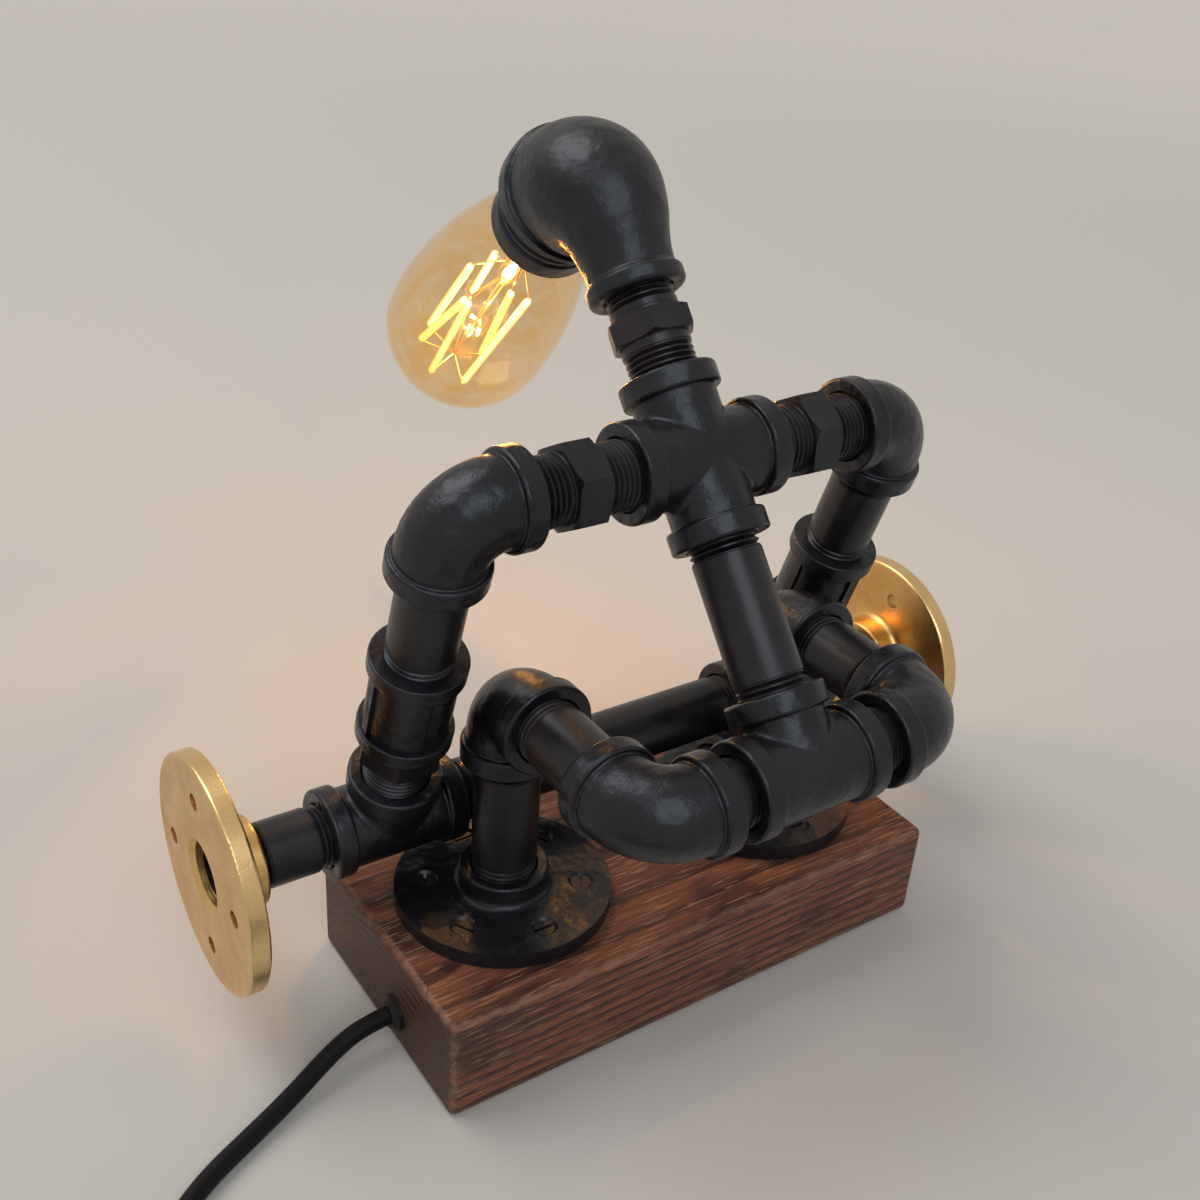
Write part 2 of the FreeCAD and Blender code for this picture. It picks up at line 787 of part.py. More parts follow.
# ---------------------------------------------------------------------------
# The figure's pipes and fittings, left side first.
# ---------------------------------------------------------------------------
def legs():
    grip = "sizes.thread_long"
    foot = {"across": "-sizes.foot_half"}
    shin = nipple(
        "left_shin_nipple",
        "places.foot_pipe",
        "places.hip_up - places.elbow_pipe",
        grip,
        grip,
        **foot,
    )
    knee = elbow(
        "left_knee_elbow",
        across="-sizes.foot_half",
        up="places.hip_up",
        axis="1; 0; -1",
        angle="180",
    )
    thigh = nipple(
        "left_thigh_nipple",
        "places.elbow_pipe",
        "sizes.thigh_long - places.elbow_pipe",
        grip,
        grip,
        across="-sizes.foot_half",
        up="places.hip_up",
        axis="1; 0; 0",
        angle="90",
    )
    hip = elbow(
        "left_hip_elbow",
        across="-sizes.foot_half",
        forward="places.hip_back",
        up="places.hip_up",
    )
    half = "(sizes.foot_half - places.elbow_pipe - places.tee_pipe) / 2"
    hip_nipple = nipple(
        "left_hip_nipple",
        "places.tee_pipe",
        "sizes.foot_half - places.elbow_pipe",
        half,
        half,
        forward="places.hip_back",
        up="places.hip_up",
        axis="0; 1; 0",
        angle="-90",
    )
    for piece in (shin, knee, thigh, hip, hip_nipple):
        right_of(piece)


def torso():
    lean = {"axis": "1; 0; 0", "angle": "-sizes.torso_lean"}
    hips = {"forward": "places.hip_back", "up": "places.hip_up"}
    chest = {"forward": "places.chest_forward", "up": "places.chest_up"}
    branched("pelvis_tee", "sizes.tee_reach", ("up",), **hips, **lean)
    nipple(
        "torso_nipple",
        "places.tee_pipe",
        "sizes.torso_long - places.cross_pipe",
        "sizes.thread_long",
        "sizes.thread_long",
        **hips,
        **lean,
    )
    branched("chest_cross", "sizes.cross_reach", ("up", "down"), **chest, **lean)
    visible = "(sizes.shoulder_half - sizes.elbow_reach - sizes.cross_reach)"
    collar = "sizes.cross_reach + (%s - sizes.shoulder_hex_wide) / 2" % visible
    room = "sizes.thread_grip + (%s - sizes.shoulder_hex_wide) / 2 - 0.3" % visible
    shoulder = nipple(
        "left_shoulder_nipple",
        "places.cross_pipe",
        "sizes.shoulder_half - places.elbow_pipe",
        room,
        room,
        hexagon=(collar, "sizes.shoulder_hex_wide"),
        forward="places.chest_forward",
        up="places.chest_up",
        axis="0; 1; 0",
        angle="-90",
    )
    right_of(shoulder)
    neck_low = "sizes.neck_hex_start - places.cross_pipe - 3"
    neck_high = "places.neck_end - sizes.neck_hex_start - sizes.neck_hex_wide - 1.5"
    nipple(
        "neck_nipple",
        "places.cross_pipe",
        "places.neck_end",
        neck_low,
        neck_high,
        hexagon=("sizes.neck_hex_start", "sizes.neck_hex_wide"),
        **chest,
        **lean,
    )


def arms():
    side = "-sizes.shoulder_half"
    lean = {"axis": "1; 0; 0", "angle": "sizes.arm_lean"}
    shoulder = {"across": side, "forward": "places.chest_forward", "up": "places.chest_up"}
    hand = {"across": side, "forward": "places.bar_forward", "up": "places.bar_up"}
    bend = elbow(
        "left_shoulder_elbow", axis="1; 0; 0", angle="sizes.arm_lean - 90", **shoulder
    )
    into = "sizes.thread_grip"
    arm_low = "-(places.coupling_start + %s)" % into
    pipe = nipple(
        "left_arm_nipple",
        arm_low,
        "-places.elbow_pipe",
        "sizes.thread_long",
        "sizes.thread_long",
        **shoulder,
        **lean,
    )
    sleeve = coupling(**shoulder, **lean)
    top = "-(places.coupling_end - %s)" % into
    bottom = "-(places.arm_long - places.tee_pipe)"
    collar = "-(places.coupling_end + 1.5 + sizes.wrist_hex_wide)"
    wrist = nipple(
        "left_wrist_nipple",
        bottom,
        top,
        "%s - %s - 0.5" % (collar, bottom),
        "%s + 1" % into,
        hexagon=(collar, "sizes.wrist_hex_wide"),
        **shoulder,
        **lean,
    )
    tee = branched("left_hand_tee", "sizes.tee_reach", ("up",), **hand, **lean)
    stub = nipple(
        "left_bar_end_nipple",
        "sizes.shoulder_half + places.tee_pipe",
        "places.disc_pipe",
        "sizes.thread_long",
        "sizes.thread_long",
        forward="places.bar_forward",
        up="places.bar_up",
        axis="0; 1; 0",
        angle="-90",
    )
    for piece in (bend, pipe, sleeve, wrist, tee, stub):
        right_of(piece)
    nipple(
        "bar_nipple",
        "-(sizes.shoulder_half - places.tee_pipe)",
        "sizes.shoulder_half - places.tee_pipe",
        "sizes.thread_long",
        "sizes.thread_long",
        forward="places.bar_forward",
        up="places.bar_up",
        axis="0; 1; 0",
        angle="-90",
    )
    brass_disc("left", "-", "90", "sizes.disc_turn_left")
    brass_disc("right", "", "-90", "sizes.disc_turn_right")


def coupling(**spot):
    """A banded socket with long ribs, which joins two pipes end to end."""
    body = new_body("left_arm_coupling", **spot)
    high = "-places.coupling_start"
    low = "-places.coupling_end"
    wall = "sizes.body_radius"
    band = "sizes.band_wide * 0.8"
    corners = [
        ("places.socket_radius", low),
        ("sizes.band_radius", low),
        ("sizes.band_radius", "%s + %s" % (low, band)),
        (wall, "%s + %s" % (low, band)),
        (wall, "%s - %s" % (high, band)),
        ("sizes.band_radius", "%s - %s" % (high, band)),
        ("sizes.band_radius", high),
        ("places.socket_radius", high),
    ]
    turned(body, outline(body, "wall", "XZ_Plane", corners))
    radius = size("sizes.band_radius")
    rounded(body, "bands", "sizes.root_round", lambda edge: ring(edge, radius))
    rib = outline(
        body,
        "rib",
        "XY_Plane",
        [
            ("%s - 1" % wall, "-sizes.rib_half"),
            ("sizes.rib_out", "-sizes.rib_half"),
            ("sizes.rib_out", "sizes.rib_half"),
            ("%s - 1" % wall, "sizes.rib_half"),
        ],
        away="%s + %s / 2" % (low, band),
    )
    bar = padded(body, rib, "sizes.coupling_long - %s" % band)
    around(body, bar, "sizes.coupling_ribs")
    return body


def brass_disc(side, sign, tilt_angle, phase):
    """A threaded brass flange on the end of the bar, its flat face outwards."""
    body = new_body(side + "_weight_flange")
    spot = "vector(%s(sizes.disc_face_half); places.bar_forward; places.bar_up)" % sign
    tilt = "rotation(vector(0; 1; 0); %s)" % tilt_angle
    spin = "rotation(vector(1; 0; 0); %s)" % phase
    body.setExpression("Placement", "placement(%s; %s * %s)" % (spot, spin, tilt))
    mouth = "sizes.disc_mouth_radius"
    ease = "(sizes.disc_mouth_radius - places.socket_radius)"
    corners = [
        (mouth, "0"),
        ("sizes.disc_radius", "0"),
        ("sizes.disc_radius", "sizes.disc_plate"),
        ("sizes.disc_hub_radius", "sizes.disc_plate"),
        ("sizes.disc_hub_radius", "sizes.disc_tall"),
        ("places.socket_radius + sizes.mouth_bevel", "sizes.disc_tall"),
        ("places.socket_radius", "sizes.disc_tall - sizes.mouth_bevel"),
        ("places.socket_radius", ease),
    ]
    turned(body, outline(body, "wall", "XZ_Plane", corners))
    hub = size("sizes.disc_hub_radius")
    rim = size("sizes.disc_radius")
    plate = size("sizes.disc_plate")
    tall = size("sizes.disc_tall")
    rounded(body, "rim", "sizes.disc_round", lambda edge: ring(edge, rim))
    rounded(body, "hub_root", "sizes.disc_hub_round", lambda edge: ring(edge, hub, plate))
    rounded(body, "hub_top", "sizes.band_round", lambda edge: ring(edge, hub, tall))
    hole = circle(
        body, "bolt_hole", "XY_Plane", "sizes.disc_hole_radius", u="sizes.disc_hole_circle"
    )
    cut = padded(body, hole, "sizes.disc_plate * 2 + 2", cut=True, middle=True)
    around(body, cut, "sizes.disc_holes")
    return body


# ---------------------------------------------------------------------------
# Head: reducing elbow, lampholder and bulb. Local Z is the neck's direction
# and local Y the lamp's axis.
# ---------------------------------------------------------------------------
NECK_TURN = "rotation(vector(1; 0; 0); -sizes.torso_lean)"
HEAD_TURN = NECK_TURN + " * rotation(vector(0; 0; 1); -sizes.head_tilt)"
HEAD = {
    "forward": "places.head_forward",
    "up": "places.head_up",
    "turn": HEAD_TURN,
}
# Turned pieces of the lamp are drawn along local Z and laid over onto the lamp's axis.
LAMP = {
    "forward": "places.head_forward",
    "up": "places.head_up",
    "turn": HEAD_TURN + " * rotation(vector(1; 0; 0); -90)",
}


def head_elbow():
    body = new_body("head_elbow", **HEAD)
    low = "-sizes.head_inlet"
    bend = "sizes.head_bend"
    big = "sizes.head_body_radius"
    neck = [
        ("0", low),
        ("sizes.band_radius", low),
        ("sizes.band_radius", "%s + sizes.band_wide" % low),
        ("sizes.body_radius", "%s + sizes.band_wide" % low),
        ("sizes.body_radius + 0.4", "%s + sizes.band_wide + 1" % low),
        (big, "-%s" % bend),
        ("0", "-%s" % bend),
    ]
    quarter = circle(
        body, "bend", "XY_Plane", big, away="-%s" % bend, axis=("0", bend, False)
    )
    turned(body, quarter, axis="Axis0", angle="90", back=True)
    turned(body, outline(body, "inlet", "YZ_Plane", neck))
    mouth = "sizes.head_mouth"
    back = "%s - sizes.head_band_wide" % mouth
    band = [
        (back, "0"),
        (back, "sizes.head_band_radius"),
        (mouth, "sizes.head_band_radius"),
        (mouth, "0"),
    ]
    turned(body, outline(body, "mouth", "YZ_Plane", band), axis="H_Axis")
    wide = size("sizes.head_band_radius")
    slim = size("sizes.band_radius")
    rounded(body, "mouth_round", "sizes.head_band_round", lambda edge: ring(edge, wide))
    rounded(body, "inlet_round", "sizes.band_round", lambda edge: ring(edge, slim))
    hollow = circle(
        body,
        "inside",
        "XY_Plane",
        "sizes.head_waterway",
        away="-%s" % bend,
        axis=("0", bend, False),
    )
    turned(body, hollow, axis="Axis0", angle="90", back=True, cut=True)
    inlet = [
        ("0", low),
        ("places.socket_radius + sizes.mouth_bevel", low),
        ("places.socket_radius", "%s + sizes.mouth_bevel" % low),
        ("places.socket_radius", "%s + sizes.thread_grip + sizes.socket_room" % low),
        ("sizes.head_waterway", "-%s" % bend),
        ("0", "-%s + 1" % bend),
    ]
    turned(body, outline(body, "inlet_hole", "YZ_Plane", inlet), cut=True)
    seat = [
        ("%s - sizes.head_socket_deep" % mouth, "0"),
        ("%s - sizes.head_socket_deep" % mouth, "sizes.head_socket_radius"),
        ("%s - 1" % mouth, "sizes.head_socket_radius"),
        (mouth, "sizes.head_socket_radius + 1"),
        (mouth, "0"),
    ]
    turned(body, outline(body, "mouth_hole", "YZ_Plane", seat), axis="H_Axis", cut=True)
    return body


def lampholder():
    """Threaded skirt, insulating disc, screw shell and centre contact."""
    body = new_body("lampholder_body", **LAMP)
    outer = "sizes.head_socket_radius - sizes.holder_gap"
    seat = "sizes.head_mouth + sizes.holder_flange_gap"
    back = "sizes.insulator_start"
    bore = "sizes.head_socket_radius - sizes.holder_gap - sizes.holder_wall"
    ledge = "sizes.insulator_start + sizes.insulator_thick"
    corners = [
        ("%s - sizes.holder_wall" % bore, back),
        (outer, back),
        (outer, seat),
        ("sizes.skirt_radius", seat),
        ("sizes.skirt_radius", "sizes.skirt_end"),
        ("sizes.skirt_bore", "sizes.skirt_end"),
        ("sizes.skirt_bore", "%s + 1" % seat),
        (bore, "%s - 1" % seat),
        (bore, "sizes.insulator_start + sizes.holder_ledge"),
        ("%s - sizes.holder_wall" % bore, "sizes.insulator_start + sizes.holder_ledge"),
    ]
    turned(body, outline(body, "wall", "XZ_Plane", corners))
    rim = size("sizes.skirt_radius")
    rounded(body, "skirt_rim", "0.5", lambda edge: ring(edge, rim, size("sizes.skirt_end")))
    groove = outline(
        body,
        "skirt_thread",
        "XZ_Plane",
        [
            ("sizes.skirt_radius + 0.2", "%s + 1" % seat),
            ("sizes.skirt_radius - sizes.skirt_ridge", "%s + 1.6" % seat),
            (
                "sizes.skirt_radius - sizes.skirt_ridge",
                "%s + 0.4 + sizes.skirt_ridge_pitch" % seat,
            ),
            ("sizes.skirt_radius + 0.2", "%s + 1 + sizes.skirt_ridge_pitch" % seat),
        ],
    )
    cut = turned(body, groove, cut=True)
    row = body.newObject("PartDesign::LinearPattern", "lampholder_body_ridges")
    row.Originals = [cut]
    row.Direction = (groove, ["V_Axis"])
    row.Mode = "Spacing"
    row.setExpression("Offset", "sizes.skirt_ridge_pitch + 0.8")
    row.Occurrences = 3
    body.Tip = row

    disc = new_body("lampholder_insulator", **LAMP)
    fit = "%s - sizes.holder_gap" % bore
    inner = "sizes.insulator_start + sizes.holder_ledge + sizes.holder_flange_gap"
    slab = [
        ("sizes.cord_radius + 0.5", inner),
        (fit, inner),
        (fit, ledge),
        ("sizes.cord_radius + 0.5", ledge),
    ]
    turned(disc, outline(disc, "slab", "XZ_Plane", slab))

    shell = new_body("lampholder_shell", **LAMP)
    inside = "sizes.shell_radius - sizes.shell_wall"
    start = "%s + sizes.holder_flange_gap" % ledge
    tube = [
        ("%s - 3" % inside, start),
        ("sizes.shell_radius", start),
        ("sizes.shell_radius", "sizes.shell_end"),
        (inside, "sizes.shell_end"),
        (inside, "%s + sizes.shell_wall" % start),
        ("%s - 3" % inside, "%s + sizes.shell_wall" % start),
    ]
    turned(shell, outline(shell, "tube", "XZ_Plane", tube))

    button = new_body("lampholder_contact", **LAMP)
    stud = [
        ("0", "%s - 1.5" % ledge),
        ("sizes.cord_radius", "%s - 1.5" % ledge),
        ("sizes.cord_radius", "%s + sizes.holder_flange_gap" % ledge),
        ("sizes.contact_radius", "%s + sizes.holder_flange_gap" % ledge),
        ("sizes.contact_radius", "sizes.contact_end - 0.6"),
        ("sizes.contact_radius - 1", "sizes.contact_end"),
        ("0", "sizes.contact_end"),
    ]
    turned(button, outline(button, "stud", "XZ_Plane", stud))


def bulb():
    """Cap, glass envelope, stem, and the filaments with their wires."""
    cap = new_body("bulb_cap", **LAMP)
    start = "sizes.bulb_start"
    core = "sizes.cap_core_radius"
    skirt = "sizes.cap_radius"
    corners = [
        ("0", start),
        ("4", start),
        ("5", "%s + 1.6" % start),
        (core, "sizes.cap_thread_start - 1"),
        (core, "sizes.cap_end"),
        ("%s - 0.5" % core, "sizes.cap_end"),
        ("%s - 0.5" % core, "sizes.cap_thread_start"),
        ("0", "%s + 3" % start),
    ]
    turned(cap, outline(cap, "shell", "XZ_Plane", corners))
    bump = outline(
        cap,
        "ridge",
        "XZ_Plane",
        [
            ("%s - 0.3" % core, "sizes.cap_thread_start"),
            (skirt, "sizes.cap_thread_start + sizes.cap_thread_pitch * 0.28"),
            (skirt, "sizes.cap_thread_start + sizes.cap_thread_pitch * 0.42"),
            ("%s - 0.3" % core, "sizes.cap_thread_start + sizes.cap_thread_pitch * 0.7"),
        ],
    )
    ridge = turned(cap, bump)
    row = cap.newObject("PartDesign::LinearPattern", "bulb_cap_ridges")
    row.Originals = [ridge]
    row.Direction = (bump, ["V_Axis"])
    row.Mode = "Spacing"
    row.setExpression("Offset", "sizes.cap_thread_pitch")
    row.setExpression("Occurrences", "sizes.cap_thread_turns")
    cap.Tip = row

    glass = new_body("bulb_glass", **LAMP)
    envelope(glass, "skin", "0", False)
    ball(glass, "end", "sizes.glass_radius", False)
    smooth(glass, "skin_round", "0")
    envelope(glass, "hollow", "sizes.glass_wall", True)
    ball(glass, "end_hollow", "sizes.glass_radius - sizes.glass_wall", True)
    smooth(glass, "hollow_round", "sizes.glass_wall")

    stem = new_body("bulb_stem", **LAMP)
    foot = [
        ("0", "sizes.glass_start"),
        ("sizes.stem_foot_radius", "sizes.glass_start"),
        ("sizes.stem_foot_radius", "sizes.glass_start + 2"),
        ("sizes.stem_radius", "sizes.glass_start + 14"),
        ("sizes.stem_radius", "sizes.stem_end - 3"),
        ("sizes.stem_radius - 1.6", "sizes.stem_end"),
        ("0", "sizes.stem_end"),
    ]
    turned(stem, outline(stem, "glass", "XZ_Plane", foot))
    filaments()


def envelope(body, name, wall, cut):
    """The bulb's outline up to its widest point, drawn in by the wall."""
    throat = "sizes.cap_core_radius - 0.7 - %s" % wall
    corners = [
        ("0", "sizes.glass_start"),
        (throat, "sizes.glass_start"),
        (throat, "sizes.cap_end + 0.3"),
        ("sizes.glass_neck_radius - %s" % wall, "sizes.cap_end + 3.5"),
        ("sizes.glass_shoulder_radius - %s" % wall, "sizes.glass_shoulder_at"),
        ("sizes.glass_middle_radius - %s" % wall, "sizes.glass_middle_at"),
        ("sizes.glass_radius - %s" % wall, "sizes.glass_round_at"),
        ("0", "sizes.glass_round_at"),
    ]
    turned(body, outline(body, name, "XZ_Plane", corners), cut=cut)


def smooth(body, name, wall):
    """Rounds the corner where the neck begins, so that the glass flows."""
    value = size("sizes.glass_neck_radius - %s" % wall)
    rounded(body, name, "sizes.glass_neck_curve", lambda edge: ring(edge, value))


def ball(body, name, radius, cut):
    """The round end of the bulb: half a circle turned about the axis."""
    sketch = new_sketch(body, name, "XZ_Plane")
    middle = size("sizes.glass_round_at")
    value = size(radius)
    centre = Vector(0, middle, 0)
    arc = Part.ArcOfCircle(Part.Circle(centre, Vector(0, 0, 1), value), 0, math.pi / 2)
    sketch.addGeometry(arc, False)
    sketch.addGeometry(Part.LineSegment(Vector(0, middle + value, 0), centre), False)
    sketch.addGeometry(Part.LineSegment(centre, Vector(value, middle, 0)), False)
    sketch.addConstraint(
        [
            Sketcher.Constraint("Coincident", 0, 2, 1, 1),
            Sketcher.Constraint("Coincident", 1, 2, 2, 1),
            Sketcher.Constraint("Coincident", 2, 2, 0, 1),
            Sketcher.Constraint("Coincident", 0, 3, 1, 2),
            Sketcher.Constraint("PointOnObject", 1, 2, -2),
            Sketcher.Constraint("Vertical", 1),
            Sketcher.Constraint("Horizontal", 2),
            Sketcher.Constraint("DistanceY", -1, 1, 1, 2, middle),
            Sketcher.Constraint("Radius", 0, value),
        ]
    )
    sketch.setExpression("Constraints[7]", "sizes.glass_round_at")
    sketch.setExpression("Constraints[8]", radius)
    return turned(body, sketch, cut=cut)


def rod(start, end, radius):
    """A straight round rod between two points."""
    return Part.makeCylinder(radius, (end - start).Length, start, end - start)


# Ends of the lit strips: how far along the lamp's axis, the angle round it in
# degrees, and how far out; the end by the stem first.
STRIPS = [
    ((79.5, 200, 14), (129.0, 190, 16)),
    ((90.5, 280, 12), (125.5, 288, 12)),
    ((88.0, 166, 16), (142.0, 188, 16)),
    ((87.0, 160, 16), (149.0, 146, 16)),
    ((70.5, 120, 12), (129.0, 86, 12)),
    ((78.0, 76, 12), (148.5, 98, 16)),
]


def around_axis(along, angle, out):
    """A point beside the local Z axis."""
    turn = math.radians(angle)
    return Vector(out * math.cos(turn), out * math.sin(turn), along)


def filaments():
    """Lit strips about the stem, each held by a wire at both ends."""
    wire = size("sizes.wire_radius")
    strip = size("sizes.filament_radius")
    stem = size("sizes.stem_radius + sizes.wire_radius + 0.1")
    root = size("sizes.filament_root")
    hub = around_axis(size("sizes.filament_hub_at"), 108, size("sizes.filament_hub_side"))
    pieces = []
    for near, far in STRIPS:
        low = around_axis(*near)
        high = around_axis(*far)
        pieces.append(rod(low, high, strip))
        pieces.append(rod(around_axis(near[0] - root, near[1], stem), low, wire))
        pieces.append(Part.makeSphere(strip, low))
        pieces.append(rod(high, hub, wire))
        pieces.append(Part.makeSphere(strip, high))
    foot = Vector(0, 0, size("sizes.stem_end + sizes.holder_flange_gap"))
    mast = rod(foot, hub, wire * 1.5)
    shape = mast.fuse(pieces)
    item = doc.addObject("Part::Feature", "bulb_filaments")
    item.Label = "bulb_filaments"
    item.Shape = shape
    place(item, **LAMP)
    nodes.append(item)


# ---------------------------------------------------------------------------
# Lead inside the pipes, and the cord outside with its grommet, switch and plug.
# ---------------------------------------------------------------------------
def rounded_path(points, radii):
    """Straight runs joined by tangent arcs; radii gives the arc at each inner point."""
    edges = []
    start = points[0]
    for k in range(1, len(points) - 1):
        before = points[k - 1] - points[k]
        after = points[k + 1] - points[k]
        before.normalize()
        after.normalize()
        turn = math.pi - before.getAngle(after)
        back = radii[k - 1] * math.tan(turn / 2)
        enter = points[k] + before * back
        leave = points[k] + after * back
        middle = before + after
        middle.normalize()
        reach = radii[k - 1] / math.cos(turn / 2) - radii[k - 1]
        edges.append(Part.LineSegment(start, enter).toShape())
        edges.append(Part.Arc(enter, points[k] + middle * reach, leave).toShape())
        start = leave
    edges.append(Part.LineSegment(start, points[-1]).toShape())
    return Part.Wire(edges)


def loose_radii(points):
    """Arcs as large as their runs allow, for a cord that lies free."""
    radii = []
    for k in range(1, len(points) - 1):
        before = points[k] - points[k - 1]
        after = points[k + 1] - points[k]
        turn = before.getAngle(after)
        shorter = min(before.Length, after.Length)
        radii.append(0.45 * shorter / math.tan(turn / 2))
    return radii


def tube(name, points, radii, radius):
    """A round tube along the path, swept from a circle across its first run."""
    path = doc.addObject("Part::Feature", name + "_path")
    path.Shape = rounded_path(points, radii)
    section = doc.addObject("Part::Circle", name + "_section")
    section.setExpression("Radius", radius)
    heading = points[1] - points[0]
    section.Placement = FreeCAD.Placement(
        points[0], FreeCAD.Rotation(Vector(0, 0, 1), heading)
    )
    sweep = doc.addObject("Part::Sweep", name)
    sweep.Label = name
    sweep.Sections = [section]
    sweep.Spine = (path, ["Edge%d" % (k + 1) for k in range(len(path.Shape.Edges))])
    sweep.Solid = True
    sweep.Frenet = False
    doc.recompute()
    expected = math.pi * size(radius) ** 2 * path.Shape.Length
    share = sweep.Shape.Volume / expected
    print(name, "length %.1f mm," % path.Shape.Length, "volume / section x length %.4f" % share)
    print("  radii", " ".join("%.1f" % value for value in radii))
    nodes.append(sweep)
    return sweep


def inner_leads():
    """The lead from the base to the lampholder, in three lengths that meet on the joint axes."""
    across = -size("sizes.foot_half")
    hip_up = size("places.hip_up")
    hip_back = size("places.hip_back")
    bend = size("sizes.lead_bend")
    side = size("sizes.channel_side")
    low = size("sizes.channel_up")
    mouth = -size("sizes.base_long / 2 + sizes.grommet_out")
    points = [
        Vector(mouth, side, low),
        Vector(across + 2, side, low),
        Vector(across, 0, size("sizes.base_tall") + 5),
        Vector(across, 0, hip_up),
        Vector(across, hip_back, hip_up),
        Vector(-bend, hip_back, hip_up),
    ]
    first = loose_radii(points)
    radii = [first[0], size("sizes.lead_rise_bend"), bend, bend]
    tube("leg_lead", points, radii, "sizes.cord_radius")
    lean = math.radians(size("sizes.torso_lean"))
    along = Vector(0, math.sin(lean), math.cos(lean))
    turn = math.radians(size("sizes.head_tilt"))
    level = Vector(0, math.cos(lean), -math.sin(lean))
    ahead = level * math.cos(turn) + Vector(math.sin(turn), 0, 0)
    hips = Vector(0, hip_back, hip_up)
    head = Vector(0, size("places.head_forward"), size("places.head_up"))
    join = head - along * (size("sizes.head_inlet") - 2)
    points = [hips - Vector(bend, 0, 0), hips, join]
    tube("torso_lead", points, [bend * 0.98], "sizes.cord_radius")
    reach = size("sizes.insulator_start + sizes.insulator_thick - 1.5")
    end = head + ahead * reach
    tube("head_lead", [join, head, end], [reach * 0.95], "sizes.cord_radius")


# The cord's route over the floor, from the grommet to the switch, from the switch
# to the coil, and from the coil to the plug.
ROUTE_TO_SWITCH = [
    Vector(-99.0, -8.5, 12.5),
    Vector(-108.5, -8.5, 12.5),
    Vector(-121.0, -10.8, 10.6),
    Vector(-135.0, -17.2, 5.6),
    Vector(-151.0, -25.6, 3.2),
    Vector(-168.5, -34.0, 3.1),
    Vector(-182.7, -43.6, 3.1),
    Vector(-191.0, -57.6, 3.9),
    Vector(-192.5, -73.0, 7.2),
    Vector(-191.6, -86.0, 7.2),
]
ROUTE_TO_COIL = [
    Vector(-187.6, -143.9, 7.2),
    Vector(-186.8, -156.0, 7.2),
    Vector(-185.8, -168.0, 4.6),
    Vector(-185.0, -178.0, 3.9),
]
COIL_CENTRE = Vector(-142.6, -175.0, 0)
ROUTE_TO_PLUG = [
    Vector(-142.6, -217.5, 9.85),
    Vector(-129.0, -217.5, 9.8),
    Vector(-113.0, -218.0, 8.6),
    Vector(-99.0, -219.0, 6.9),
    Vector(-87.0, -220.2, 6.9),
]


def cord():
    grommet = new_body(
        "cord_grommet",
        across="-sizes.base_long / 2",
        forward="sizes.channel_side",
        up="sizes.channel_up",
        axis="0; 1; 0",
        angle="-90",
    )
    bore = "sizes.cord_radius + sizes.grommet_gap"
    fit = "sizes.channel_radius - sizes.grommet_gap"
    corners = [
        (bore, "-sizes.grommet_in"),
        ("%s + 0.5" % bore, "-sizes.grommet_in"),
        (fit, "-sizes.grommet_in / 2"),
        (fit, "0.02"),
        ("sizes.grommet_radius", "0.02"),
        ("sizes.grommet_radius", "sizes.grommet_out / 2"),
        ("sizes.grommet_radius - 1.6", "sizes.grommet_out"),
        (bore, "sizes.grommet_out"),
    ]
    turned(grommet, outline(grommet, "ring", "XZ_Plane", corners))
    tube("supply_cord", ROUTE_TO_SWITCH, loose_radii(ROUTE_TO_SWITCH), "sizes.cord_radius")
    tube("switch_to_coil_cord", ROUTE_TO_COIL, loose_radii(ROUTE_TO_COIL), "sizes.cord_radius")
    tube("coil_to_plug_cord", ROUTE_TO_PLUG, loose_radii(ROUTE_TO_PLUG), "sizes.cord_radius")
    coil()
    inline_switch()
    plug()


def set_down(body, spot, heading):
    """Puts a piece at a point of the cord, its X axis along the cord's heading."""
    flat = Vector(heading.x, heading.y, 0)
    body.setExpression("Placement", None)
    body.Placement = FreeCAD.Placement(spot, FreeCAD.Rotation(Vector(1, 0, 0), flat))


def coil():
    """The outer shape of the wound cord, four turns wide and two high, and the tie about it."""
    ring_body = new_body("cord_coil")
    set_down(ring_body, COIL_CENTRE, Vector(1, 0, 0))
    low = "sizes.tie_thick + sizes.cord_gap"
    high = "%s + sizes.cord_radius * 4" % low
    inner = "sizes.coil_middle_radius - sizes.cord_radius * 4"
    outer = "sizes.coil_middle_radius + sizes.cord_radius * 4"
    corners = [(inner, low), (outer, low), (outer, high), (inner, high)]
    turned(ring_body, outline(ring_body, "turns", "XZ_Plane", corners))

    tie = new_body("coil_tie")
    set_down(tie, COIL_CENTRE, Vector(math.cos(0.6), math.sin(0.6), 0))
    near = "sqrt((%s)^2 - (sizes.tie_wide / 2)^2) - sizes.cord_gap" % inner
    far = "%s + sizes.cord_gap" % outer
    top = "%s + sizes.cord_gap" % high
    thick = "sizes.tie_thick"
    outside = [
        ("%s - %s" % (near, thick), "0"),
        ("%s + %s" % (far, thick), "0"),
        ("%s + %s" % (far, thick), "%s + %s" % (top, thick)),
        ("%s - %s" % (near, thick), "%s + %s" % (top, thick)),
    ]
    inside = [(near, thick), (far, thick), (far, top), (near, top)]
    band = outline(tie, "outside", "XZ_Plane", outside)
    padded(tie, band, "sizes.tie_wide", middle=True)
    hole = outline(tie, "inside", "XZ_Plane", inside)
    padded(tie, hole, "sizes.tie_wide + 2", cut=True, middle=True)


